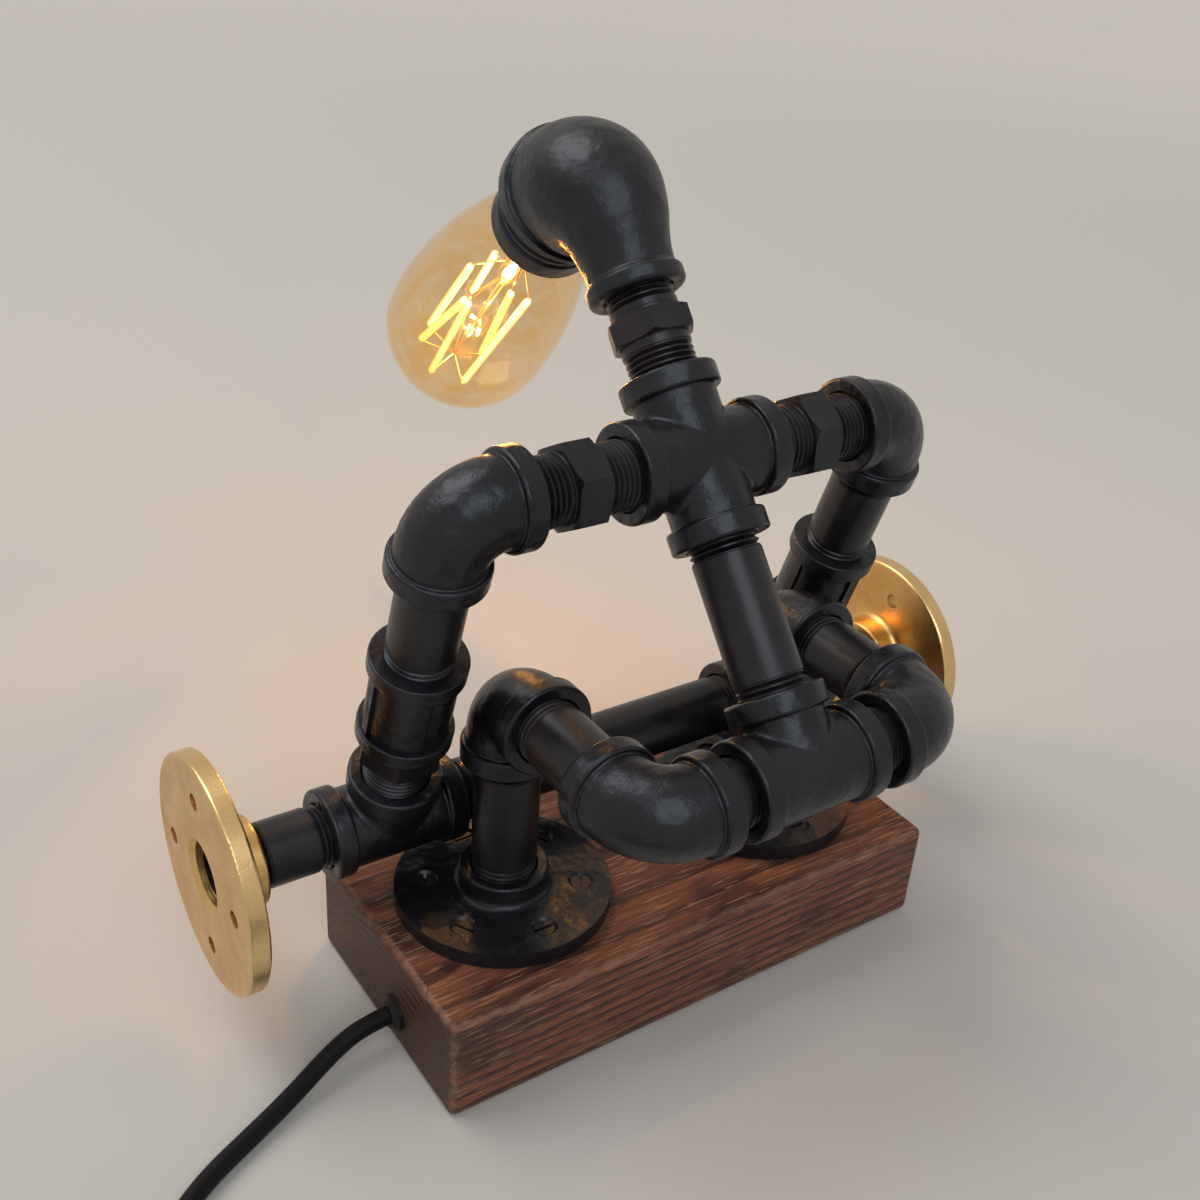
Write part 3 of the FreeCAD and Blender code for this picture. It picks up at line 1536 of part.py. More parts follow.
def slab(body, name, long, wide, low, tall, cut=False, inset="0"):
    """A block along X from the inset, centred across, from low up to tall."""
    plan = outline(
        body,
        name,
        "XY_Plane",
        [
            (inset, "-(%s) / 2" % wide),
            ("%s + %s" % (inset, long), "-(%s) / 2" % wide),
            ("%s + %s" % (inset, long), "(%s) / 2" % wide),
            (inset, "(%s) / 2" % wide),
        ],
        away=low,
    )
    return padded(body, plan, tall, cut=cut, back=cut)


def upright(edge):
    ends = [vertex.Point for vertex in edge.Vertexes]
    if len(ends) != 2:
        return False
    rise = ends[1] - ends[0]
    return abs(rise.z) > 1 and abs(rise.x) + abs(rise.y) < 0.01


def level_at(height):
    """A test for edges that lie at this height."""
    return lambda edge: all(abs(vertex.Z - height) < 0.01 for vertex in edge.Vertexes)


def inline_switch():
    """Two shells about the cord, with a rocker in a window of the upper one."""
    spot = Vector(ROUTE_TO_SWITCH[-1])
    spot.z = 0
    heading = ROUTE_TO_SWITCH[-1] - ROUTE_TO_SWITCH[-2]
    long = "sizes.switch_long"
    wide = "sizes.switch_wide"
    wall = "sizes.switch_wall"
    seam = "sizes.switch_lower_tall"
    full = "sizes.switch_lower_tall + sizes.switch_upper_tall"
    room = "%s - 4 * %s" % (long, wall)

    lower = new_body("switch_lower_shell")
    set_down(lower, spot, heading)
    slab(lower, "block", long, wide, "0", "%s - sizes.shell_gap" % seam)
    rounded(lower, "corners", "sizes.switch_corner", upright)
    rounded(lower, "bottom", "sizes.switch_edge", level_at(0.0))
    slab(
        lower, "room", room, "%s - 2 * %s" % (wide, wall), wall, seam, True, "2 * %s" % wall
    )

    upper = new_body("switch_upper_shell")
    set_down(upper, spot, heading)
    slab(upper, "block", long, wide, seam, "sizes.switch_upper_tall")
    rounded(upper, "corners", "sizes.switch_corner", upright)
    rounded(upper, "top", "sizes.switch_edge", level_at(size(full)))
    tall = "sizes.switch_upper_tall - %s + 1" % wall
    slab(
        upper,
        "room",
        room,
        "%s - 2 * %s" % (wide, wall),
        "%s - 1" % seam,
        tall,
        True,
        "2 * %s" % wall,
    )
    opening = "sizes.rocker_long + 2 * sizes.rocker_end_gap"
    slab(
        upper,
        "window",
        opening,
        "sizes.rocker_wide + 2 * sizes.rocker_gap",
        seam,
        "sizes.switch_upper_tall + 1",
        True,
        "(%s - (%s)) / 2" % (long, opening),
    )

    rocker = new_body("switch_rocker")
    set_down(rocker, spot, heading)
    middle = "%s / 2" % long
    half = "sizes.rocker_long / 2"
    top = full
    side = [
        ("%s - %s + 1" % (middle, half), "%s - sizes.rocker_deep" % top),
        ("%s + %s - 1" % (middle, half), "%s - sizes.rocker_deep" % top),
        ("%s + %s" % (middle, half), "%s + 0.2" % top),
        (middle, "%s + 0.1" % top),
        ("%s - %s" % (middle, half), "%s + sizes.rocker_proud" % top),
    ]
    padded(rocker, outline(rocker, "side", "XZ_Plane", side), "sizes.rocker_wide", middle=True)


def plug():
    """A flat two-pin plug with a tapered tail where the cord goes in."""
    spot = ROUTE_TO_PLUG[-1]
    heading = ROUTE_TO_PLUG[-1] - ROUTE_TO_PLUG[-2]
    shell = new_body("plug_body")
    set_down(shell, spot, heading)
    tail = "sizes.plug_tail_long"
    end = "%s + sizes.plug_long" % tail
    plan = [
        ("%s - 4" % tail, "-sizes.plug_tail_radius - 1"),
        ("%s + 8" % tail, "-sizes.plug_wide / 2"),
        (end, "-sizes.plug_wide / 2"),
        (end, "sizes.plug_wide / 2"),
        ("%s + 8" % tail, "sizes.plug_wide / 2"),
        ("%s - 4" % tail, "sizes.plug_tail_radius + 1"),
    ]
    padded(shell, outline(shell, "plan", "XY_Plane", plan), "sizes.plug_thick", middle=True)
    rounded(shell, "soft_corners", "sizes.plug_round", upright)
    half = size("sizes.plug_thick / 2")
    above = level_at(half)
    below = level_at(-half)
    rounded(shell, "soft_rims", "sizes.plug_round", lambda edge: above(edge) or below(edge))
    cone = [
        ("0", "0"),
        ("0", "sizes.cord_radius + 0.6"),
        (tail, "sizes.plug_tail_radius"),
        (tail, "0"),
    ]
    turned(shell, outline(shell, "tail", "XZ_Plane", cone), axis="H_Axis")

    pins = new_body("plug_pins")
    set_down(pins, spot, heading)
    for label, side in (("left_pin", "-"), ("right_pin", "+")):
        at = "%ssizes.pin_half" % side
        rod_plan = [
            ("%s + sizes.shell_gap" % end, at),
            ("%s + sizes.shell_gap" % end, "%s + sizes.pin_radius" % at),
            ("%s + sizes.pin_long - 1" % end, "%s + sizes.pin_radius" % at),
            ("%s + sizes.pin_long" % end, "%s + sizes.pin_radius - 1" % at),
            ("%s + sizes.pin_long" % end, at),
        ]
        pin = outline(pins, label, "XY_Plane", rod_plan, axis=("0", at, False))
        turned(pins, pin, axis="Axis0")


wood_base()
foot = foot_flange()
right_of(foot)
screws = foot_screws()
right_of(screws)
legs()
torso()
arms()
head_elbow()
lampholder()
bulb()
inner_leads()
cord()
doc.recompute()


# ---------------------------------------------------------------------------
# Every object is up to date and every piece sound before anything is written.
# ---------------------------------------------------------------------------
for item in doc.Objects:
    if "Invalid" in item.State or "Error" in item.State:
        raise RuntimeError("%s is not sound: %s" % (item.Name, item.State))
for item in nodes:
    if item.Shape.isNull() or not item.Shape.isValid() or not item.Shape.Solids:
        raise RuntimeError("%s has no sound shape" % item.Label)
for item in nodes:
    item.Shape.exportStep("parts/%s.step" % item.Label)
print(len(nodes), "pieces")
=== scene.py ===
import json
import math

import bpy
import numpy as np
from mathutils import Matrix, Vector


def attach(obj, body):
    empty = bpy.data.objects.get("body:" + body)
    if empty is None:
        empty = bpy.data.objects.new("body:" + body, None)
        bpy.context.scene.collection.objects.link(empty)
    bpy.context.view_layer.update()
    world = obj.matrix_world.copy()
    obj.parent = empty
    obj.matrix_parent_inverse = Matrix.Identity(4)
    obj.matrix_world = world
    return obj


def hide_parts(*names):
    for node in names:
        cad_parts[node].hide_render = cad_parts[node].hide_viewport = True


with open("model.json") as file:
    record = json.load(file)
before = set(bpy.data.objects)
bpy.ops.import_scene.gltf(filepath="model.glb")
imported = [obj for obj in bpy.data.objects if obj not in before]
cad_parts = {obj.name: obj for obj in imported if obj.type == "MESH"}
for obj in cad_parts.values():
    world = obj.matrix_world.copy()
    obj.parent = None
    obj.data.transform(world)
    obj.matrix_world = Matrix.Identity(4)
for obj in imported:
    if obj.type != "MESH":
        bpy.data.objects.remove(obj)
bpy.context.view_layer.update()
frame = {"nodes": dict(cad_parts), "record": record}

bl_info = {
    "name": "Seated Pipe Lamp",
    "version": (1, 0, 0),
    "blender": (4, 5, 0),
    "location": "3D View > Sidebar > Pipe Lamp",
    "description": "Bulb, cord, finishes and stage of a seated pipe figure table lamp",
    "category": "Object",
}

# The lamp's own axes, in metres: the middle of the head elbow, the direction in
# which the bulb points, the direction level with it, and the one down the neck.
HEAD = np.array((0.0, 0.04955, 0.258415))
AHEAD = np.array((0.113203, 0.757766, -0.642632))
ACROSS = np.array((0.993572, -0.086336, 0.073218))
NECKWARD = np.array((0.0, -0.646790, -0.762668))

# The head elbow: the length of its neck, the radius of its bend, the length of
# its mouth, and the radius of its neck and by how much it swells from there.
HEAD_INLET = 0.0432
HEAD_BEND = 0.0225
HEAD_MOUTH = 0.0246
HEAD_NECK = 0.0135
HEAD_SWELL = 0.00728

# How far the bands at its two ends stand out, and the depth of the groove by one.
NECK_BAND = 0.0015
MOUTH_BAND = 0.0012
MOUTH_GROOVE = 0.0004

# Its bore at the neck, by how much that widens to the waterway and to the
# socket, and the chamfer at its ends.
HEAD_BORE = 0.01045
WATERWAY_STEP = 0.0040
SOCKET_STEP = 0.00235
BORE_CHAMFER = 0.0008

# Where the bulb's glass begins, turns in, leaves its neck and is widest along the
# lamp's axis, and the radius of its throat.
GLASS_START = 0.037
GLASS_LIP = 0.0408
GLASS_NECK = 0.044
GLASS_WIDEST = 0.130
GLASS_THROAT = 0.0112

# Where its stem ends, and the radius of the stem's waist and of its flared foot.
STEM_END = 0.088
STEM_WAIST = 0.0036
STEM_FLARE = 0.0102

# Where the wires meet: along the axis, the angle in degrees, and how far out.
HUB = (0.150, 108.0, 0.003)
WIRE_RADIUS = 0.0003

# The light of the strips: the middle of the glass's painted glow along the axis,
# each light's name and place along it, and the power in watts and the radius of each.
PAINTED_GLOW_MIDDLE = 0.108
GLOW_LAMPS = (("glow_near", 0.086), ("glow_middle", 0.108), ("glow_far", 0.132))
GLOW_POWER = 0.33
GLOW_RADIUS = 0.0012

# Ends of the lit strips: how far along the axis, the angle round it in degrees,
# and how far out; the end by the stem first.
STRIPS = (
    ((0.0795, 200.0, 0.014), (0.1290, 190.0, 0.016)),
    ((0.0905, 280.0, 0.012), (0.1255, 288.0, 0.012)),
    ((0.0880, 166.0, 0.016), (0.1420, 188.0, 0.016)),
    ((0.0870, 160.0, 0.016), (0.1490, 146.0, 0.016)),
    ((0.0705, 120.0, 0.012), (0.1290, 86.0, 0.012)),
    ((0.0780, 76.0, 0.012), (0.1485, 98.0, 0.016)),
)

# The cord's route over the floor, in metres: out of the base and through the
# switch, on to the coil, and from the coil to the plug.
ROUTE_TO_COIL = (
    (-0.0990, -0.0085, 0.0125),
    (-0.1085, -0.0086, 0.0121),
    (-0.1200, -0.0108, 0.0085),
    (-0.1340, -0.0163, 0.0046),
    (-0.1505, -0.0232, 0.0031),
    (-0.1680, -0.0314, 0.0031),
    (-0.1823, -0.0425, 0.0031),
    (-0.1910, -0.0576, 0.0039),
    (-0.1925, -0.0730, 0.0072),
    (-0.1916, -0.0860, 0.0072),
    (-0.1876, -0.1439, 0.0072),
    (-0.1876, -0.1560, 0.0064),
    (-0.1870, -0.1660, 0.0040),
)
COIL_CENTRE = (-0.1426, -0.1750)

# The coil's rings: the radius in millimetres, and the angles in degrees at which
# the cord comes on to the ring and leaves it.
COIL_RINGS = (
    (42.5, 184, 405),
    (36.5, 495, 765),
    (30.5, 855, 1125),
    (24.5, 1215, 1710),
    (30.5, 1800, 2070),
    (36.5, 2160, 2430),
    (42.5, 2520, 2790),
)
COIL_STEP = 18.0
COIL_CLIMB = (1440, 1530)
COIL_HEIGHTS = (0.00385, 0.00985)
ROUTE_TO_PLUG = (
    (-0.1290, -0.2175, 0.0098),
    (-0.1130, -0.2180, 0.0086),
    (-0.0990, -0.2190, 0.0069),
    (-0.0870, -0.2202, 0.0069),
)

# The wooden base: half its length, half its width, and its height.
BASE_HALF_LONG = 0.096
BASE_HALF_WIDE = 0.0455
BASE_TALL = 0.037

# The line through both discs, as y and z, and where their worn rim begins and ends.
DISC_LINE = (0.0281, 0.06061)
DISC_RIM = (0.0363, 0.0385)

# The camera: turn, tilt and roll in degrees, lens and sensor in millimetres.
CAMERA_ANGLES = (-35.81, 29.29, 4.17)
CAMERA_LENS = 42.735
CAMERA_SENSOR = 36.0
CAMERA_PLACE = (-0.2435, -0.3074, 0.3520)

# The floor: half its width, how far it lies below the base, the level direction
# in which the camera looks, and how far out it turns into the wall's colour.
FLOOR_HALF = 7
FLOOR_DROP = 0.0002
LOOKING = (0.585, 0.811)
FLOOR_FADE = (0.7, 2.4)

# The soft light panels: name, place, width, power and colour.
PANELS = (
    ("key_light", (-1.4, 2.0, 3.9), 3.2, 96.0, (1.0, 0.985, 0.96)),
    ("fill_light", (-0.9, -2.6, 2.9), 2.6, 44.0, (0.88, 0.94, 1.0)),
)
PANEL_AIM = (0.0, 0.0, 0.1)


# ---------------------------------------------------------------------------
# Surfaces
# ---------------------------------------------------------------------------
def on_axis(along, angle, out):
    """The point this far along the lamp's axis and this far out from it, at this angle."""
    turn = math.radians(angle)
    return HEAD + AHEAD * along + (ACROSS * math.cos(turn) + NECKWARD * math.sin(turn)) * out


def facing_out(points, faces):
    """The faces wound so that their normals point out of the closed surface.

    Six times the volume is the sum, over triangles, of the triple product of
    their corners; where that sum is negative, every face is turned over.
    """
    total = 0.0
    for block in faces:
        a, b = points[block[:, 0]], points[block[:, 1]]
        for k in range(2, block.shape[1]):
            c = points[block[:, k]]
            total += float(np.einsum("ij,ij->", a, np.cross(b, c)))
            b = c
    return [block[:, ::-1] for block in faces] if total < 0 else faces


def rings(count, around):
    """Faces of a surface made of rings of points, closed by one point at either end.

    The points are one pole, then count rings of around points each, then the
    other pole. Neighbouring rings are joined by quads and each pole by a fan.
    """
    step = np.arange(around)
    after = (step + 1) % around
    row = 1 + np.arange(count - 1)[:, None] * around
    quads = np.stack((row + step, row + after, row + around + after, row + around + step), -1)
    last = 1 + (count - 1) * around
    low = np.stack((np.zeros(around, int), 1 + after, 1 + step), -1)
    high = np.stack((np.full(around, last + around), last + step, last + after), -1)
    return [quads.reshape(-1, 4), np.concatenate((low, high))]


def lathe(radius, along, around=96):
    """A profile turned about the lamp's axis, with a pole at both ends.

    A point at angle t is the head's middle, plus the distance along the axis,
    plus the radius times (across cos t + neckward sin t).
    """
    turn = np.linspace(0.0, 2 * np.pi, around, endpoint=False)
    side = np.cos(turn)[:, None] * ACROSS + np.sin(turn)[:, None] * NECKWARD
    body = HEAD + along[1:-1, None, None] * AHEAD + radius[1:-1, None, None] * side
    poles = HEAD + along[[0, -1], None] * AHEAD
    points = np.concatenate((poles[:1], body.reshape(-1, 3), poles[1:]))
    return points, facing_out(points, rings(len(radius) - 2, around))


def rod(path, radius, around=12):
    """A round rod along a path, its ends closed by a point.

    A ring lies across the path at each of its points: the point, plus the
    radius times (u cos t + v sin t), where u and v are square to the path.
    """
    path = np.asarray(path, float)
    radius = np.broadcast_to(radius, len(path))
    heading = np.gradient(path, axis=0)
    heading /= np.linalg.norm(heading, axis=1, keepdims=True)
    rough = ACROSS if abs(heading[0] @ ACROSS) < 0.8 else NECKWARD
    u = np.cross(heading, rough)
    u /= np.linalg.norm(u, axis=1, keepdims=True)
    v = np.cross(heading, u)
    turn = np.linspace(0.0, 2 * np.pi, around, endpoint=False)
    ring = np.cos(turn)[None, :, None] * u[:, None] + np.sin(turn)[None, :, None] * v[:, None]
    body = path[:, None] + radius[:, None, None] * ring
    points = np.concatenate((path[:1], body.reshape(-1, 3), path[-1:]))
    return points, facing_out(points, rings(len(path), around))


def joined(shapes):
    """Several surfaces as one, each keeping its own points."""
    points, blocks, start = [], [], 0
    for some, faces in shapes:
        points.append(some)
        blocks += [block + start for block in faces]
        start += len(some)
    return np.concatenate(points), blocks


def piece(name, shape, body, material, replaces):
    """A new smooth object from points and faces, riding on a body in place of its nodes."""
    points, blocks = shape
    mesh = bpy.data.meshes.new(name)
    mesh.from_pydata(points.tolist(), [], [face for block in blocks for face in block.tolist()])
    mesh.polygons.foreach_set("use_smooth", np.ones(len(mesh.polygons), bool))
    mesh.materials.append(material)
    mesh.update()
    item = bpy.data.objects.new(name, mesh)
    bpy.context.scene.collection.objects.link(item)
    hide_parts(*replaces)
    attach(item, body)
    return item


def ease(value, low, high):
    """0 below low, 1 above high, and 3 s squared less 2 s cubed between them."""
    share = np.clip((value - low) / (high - low), 0.0, 1.0)
    return share * share * (3 - 2 * share)


def rounding(distance, size):
    """How far a round edge of this size falls back at a distance from its face."""
    left = size - np.clip(distance, 0.0, size)
    return size - np.sqrt(size * size - left * left)


def head_shell(around=112):
    """The head elbow: a tube of changing radius along its neck, its bend and its mouth.

    At a distance s along the middle line, a ring is the line's point plus the
    radius times (across cos t + n sin t), where n is square to the line and
    points away from the bend's middle. Outside, the radius eases from the narrow
    end to the bend's, and a band steps up from it at each end. Inside, it eases
    from the pipe's to the waterway's, and then steps up to the socket's.
    """
    straight = HEAD_INLET - HEAD_BEND
    whole = straight + HEAD_BEND * np.pi / 2 + HEAD_MOUTH - HEAD_BEND
    marks = [0.0, 0.0012, 0.0095, whole - 0.0085, whole - 0.0012, whole]
    counts = (10, 26, 60, 40, 10)
    parts = [np.linspace(a, b, n, endpoint=False) for a, b, n in zip(marks, marks[1:], counts)]
    out = np.concatenate((*parts, [whole]))
    radius = HEAD_NECK + HEAD_SWELL * ease(out, 0.0070, 0.040)
    radius += NECK_BAND * (1 - ease(out, 0.0044, 0.0068))
    radius += MOUTH_BAND * ease(out, whole - 0.0062, whole - 0.0055)
    radius -= MOUTH_GROOVE * np.exp(-(((out - whole + 0.0066) / 0.0005) ** 2))
    radius -= rounding(out, 0.0018) + rounding(whole - out, 0.0008)
    back = np.linspace(whole, 0.0, 70)
    bore = HEAD_BORE + WATERWAY_STEP * ease(back, 0.012, 0.034)
    bore += SOCKET_STEP * ease(back, whole - 0.0176, whole - 0.0168)
    bore += BORE_CHAMFER * (ease(back, whole - 0.0009, whole) + ease(-back, -0.0009, 0.0))
    along = np.concatenate((out, back))
    radius = np.concatenate((radius, bore))
    angle = np.clip((along - straight) / HEAD_BEND, 0.0, np.pi / 2)[:, None]
    away = -NECKWARD * np.sin(angle) - AHEAD * np.cos(angle)
    line = HEAD + (AHEAD + NECKWARD) * HEAD_BEND + away * HEAD_BEND
    line -= NECKWARD * np.minimum(along - straight, 0.0)[:, None]
    line += AHEAD * np.maximum(along - straight - HEAD_BEND * np.pi / 2, 0.0)[:, None]
    turn = np.linspace(0.0, 2 * np.pi, around, endpoint=False)[None, :, None]
    side = ACROSS * np.cos(turn) + away[:, None] * np.sin(turn)
    points = (line[:, None] + radius[:, None, None] * side).reshape(-1, 3)
    count = len(along)
    step = np.arange(around)
    row = np.arange(count)[:, None] * around
    ahead = (row + around) % (count * around)
    after = (step + 1) % around
    quads = np.stack((row + step, row + after, ahead + after, ahead + step), -1)
    return points, facing_out(points, [quads.reshape(-1, 4)])


# ---------------------------------------------------------------------------
# Materials
# ---------------------------------------------------------------------------
RUBBED_COAT = (0.06, 0.056, 0.055)
OILY_COAT = (0.034, 0.021, 0.018)
BRASS_PIT = (0.3, 0.17, 0.06)
BRASS_RIM = (0.93, 0.73, 0.4)
WOOD_PORE = (0.012, 0.006, 0.004)
DULL_BLOOM = (0.026, 0.025, 0.025)


class Wire:
    """The output of a node; sums and products of wires and numbers add Math nodes."""

    def __init__(self, board, socket):
        self.board = board
        self.socket = socket

    def math(self, operation, *others):
        values = dict(enumerate((self, *others)))
        return self.board.add("Math", {"operation": operation}, values)

    def __add__(self, other):
        return self.math("ADD", other)

    def __sub__(self, other):
        return self.math("SUBTRACT", other)

    def __rsub__(self, other):
        return self.board.add("Math", {"operation": "SUBTRACT"}, {0: other, 1: self})

    def __mul__(self, other):
        return self.math("MULTIPLY", other)

    def __truediv__(self, other):
        return self.math("DIVIDE", other)

    def __pow__(self, other):
        return self.math("POWER", other)

    __radd__ = __add__
    __rmul__ = __mul__

    def least(self, other):
        return self.math("MINIMUM", other)

    def most(self, other):
        return self.math("MAXIMUM", other)

    def step(self, low, high):
        """0 below low, 1 above high, and an easy curve between them."""
        settings = {"interpolation_type": "SMOOTHSTEP"}
        limits = {"Value": self, "From Min": low, "From Max": high}
        return self.board.add("MapRange", settings, limits)


class Board:
    """The node tree of one material, or of the world."""

    def __init__(self, name=None, world=None):
        self.home = world or bpy.data.materials.new(name)
        self.home.use_nodes = True
        self.tree = self.home.node_tree
        self.tree.nodes.clear()

    def add(self, kind, settings=None, sockets=None, out=0):
        """A node of this kind: its settings first, then its sockets' values or links."""
        node = self.tree.nodes.new("ShaderNode" + kind)
        for name, value in (settings or {}).items():
            setattr(node, name, value)
        for name, value in (sockets or {}).items():
            if isinstance(value, Wire):
                self.tree.links.new(value.socket, node.inputs[name])
            elif hasattr(value, "__len__") and node.inputs[name].type == "RGBA":
                node.inputs[name].default_value = (*tuple(value)[:3], 1.0)
            else:
                node.inputs[name].default_value = value
        return Wire(self, node.outputs[out] if node.outputs else None)

    def place(self):
        """Object coordinates, in metres."""
        return self.add("TexCoord", out="Object")

    def split(self, wire):
        node = self.add("SeparateXYZ", sockets={0: wire}).socket.node
        return [Wire(self, socket) for socket in node.outputs]

    def stretch(self, wire, scale, move=(0.0, 0.0, 0.0)):
        """The pattern's place, scaled on each axis and moved."""
        values = {"Vector": wire, "Scale": scale, "Location": move}
        return self.add("Mapping", sockets=values)

    def noise(self, wire, scale, detail=2.0, rough=0.5, bend=0.0):
        values = {
            "Vector": wire,
            "Scale": scale,
            "Detail": detail,
            "Roughness": rough,
            "Distortion": bend,
        }
        return self.add("TexNoise", sockets=values)

    def blend(self, factor, first, second):
        """A colour between two others."""
        settings = {"data_type": "RGBA"}
        return self.add("Mix", settings, {0: factor, 6: first, 7: second}, out=2)

    def layer(self, factor, first, second):
        """A shader between two others."""
        return self.add("MixShader", sockets={0: factor, 1: first, 2: second})

    def bump(self, height, distance, below=None):
        """A skin raised by a height, upon the skin below."""
        values = {"Height": height, "Distance": distance, "Strength": 1.0}
        if below is not None:
            values["Normal"] = below
        return self.add("Bump", sockets=values)

    def seen(self):
        """1 for a ray that is seen, straight, mirrored or through glass, and 0 for light."""
        ray = self.add("LightPath").socket.node.outputs
        direct = Wire(self, ray["Is Camera Ray"])
        mirrored = Wire(self, ray["Is Glossy Ray"])
        return direct.most(mirrored).most(Wire(self, ray["Is Transmission Ray"]))

    def finish(self, shader):
        self.add("OutputMaterial", sockets={"Surface": shader})
        return self.home

    def solid(self, **sockets):
        """A material of one Principled shader with these sockets."""
        named = {name.replace("_", " "): value for name, value in sockets.items()}
        return self.finish(self.add("BsdfPrincipled", sockets=named))


def cast_iron(name, dark, light, shine, grit):
    """Black coated castings: a sandy skin, low swells, and a sheen that varies a little."""
    board = Board(name)
    at = board.place()
    swell = board.noise(at, 95.0, 2.0, 0.45)
    lump = board.noise(at, 310.0, 2.0, 0.5)
    sand = board.noise(at, 1150.0, 3.0, 0.6)
    cloud = board.noise(at, 38.0, 3.0, 0.55)
    scuff = board.noise(board.stretch(at, (1.0, 1.0, 1.6)), 420.0, 4.0, 0.7)
    colour = board.blend(cloud.step(0.32, 0.7), dark, light)
    rubbed = scuff.step(0.63, 0.8) * cloud.step(0.42, 0.62)
    colour = board.blend(rubbed * 0.4, colour, RUBBED_COAT)
    sheen = shine + (cloud - 0.5) * 0.18 + (sand - 0.5) * 0.12 - rubbed * 0.06
    skin = board.bump(swell, 0.0012)
    skin = board.bump(lump, 0.00018, below=skin)
    skin = board.bump(sand, grit, below=skin)
    return board.solid(
        Base_Color=colour,
        Roughness=sheen,
        Specular_IOR_Level=0.46,
        # Painted reflection: the bluish specular tint stands in for bluish room light in the
        # coat's reflections.
        Specular_Tint=(0.82, 0.90, 1.0),
        Normal=skin,
    )


def drawn_pipe(name, dark, light, shine):
    """Black drawn pipe and turned threads: smooth, with fine lines and oily patches."""
    board = Board(name)
    at = board.place()
    patch = board.noise(at, 60.0, 3.0, 0.5)
    fine = board.noise(at, 1900.0, 2.0, 0.5)
    lines = board.noise(board.stretch(at, (1.0, 1.0, 0.12)), 900.0, 2.0, 0.5)
    brown = board.noise(at, 26.0, 2.0, 0.5)
    colour = board.blend(patch.step(0.35, 0.68), dark, light)
    colour = board.blend(brown.step(0.46, 0.66) * 0.5, colour, OILY_COAT)
    sheen = shine + (patch - 0.5) * 0.2 + (lines - 0.5) * 0.12
    skin = board.bump(fine * 0.6 + lines * 0.4, 0.00006)
    return board.solid(
        Base_Color=colour,
        Roughness=sheen,
        Specular_IOR_Level=0.45,
        # Painted reflection: the bluish specular tint stands in for bluish room light in the
        # pipe's reflections.
        Specular_Tint=(0.9, 0.93, 1.0),
        Normal=skin,
    )


def satin_brass(name, bright, deep):
    """Cast brass, brushed: fine grain, faint turning marks, and darker in its pits."""
    board = Board(name)
    at = board.place()
    _, y, z = board.split(at)
    dy = y - DISC_LINE[0]
    dz = z - DISC_LINE[1]
    out = (dy * dy + dz * dz) ** 0.5
    grain = board.noise(at, 1700.0, 3.0, 0.65)
    brush = board.noise(board.stretch(at, (0.25, 1.0, 0.2)), 950.0, 3.0, 0.6)
    cloud = board.noise(at, 70.0, 3.0, 0.6)
    pits = board.noise(at, 620.0, 2.0, 0.5).step(0.68, 0.76)
    rim = out.step(*DISC_RIM)
    colour = board.blend(cloud.step(0.3, 0.72), bright, deep)
    colour = board.blend(pits * 0.22, colour, BRASS_PIT)
    colour = board.blend(rim * 0.4, colour, BRASS_RIM)
    sheen = 0.34 + (brush - 0.5) * 0.16 + (cloud - 0.5) * 0.12 - rim * 0.06
    skin = board.bump(grain * 0.4 + brush * 0.5 - pits * 0.3, 0.00006)
    return board.solid(Base_Color=colour, Metallic=1.0, Roughness=sheen, Normal=skin)


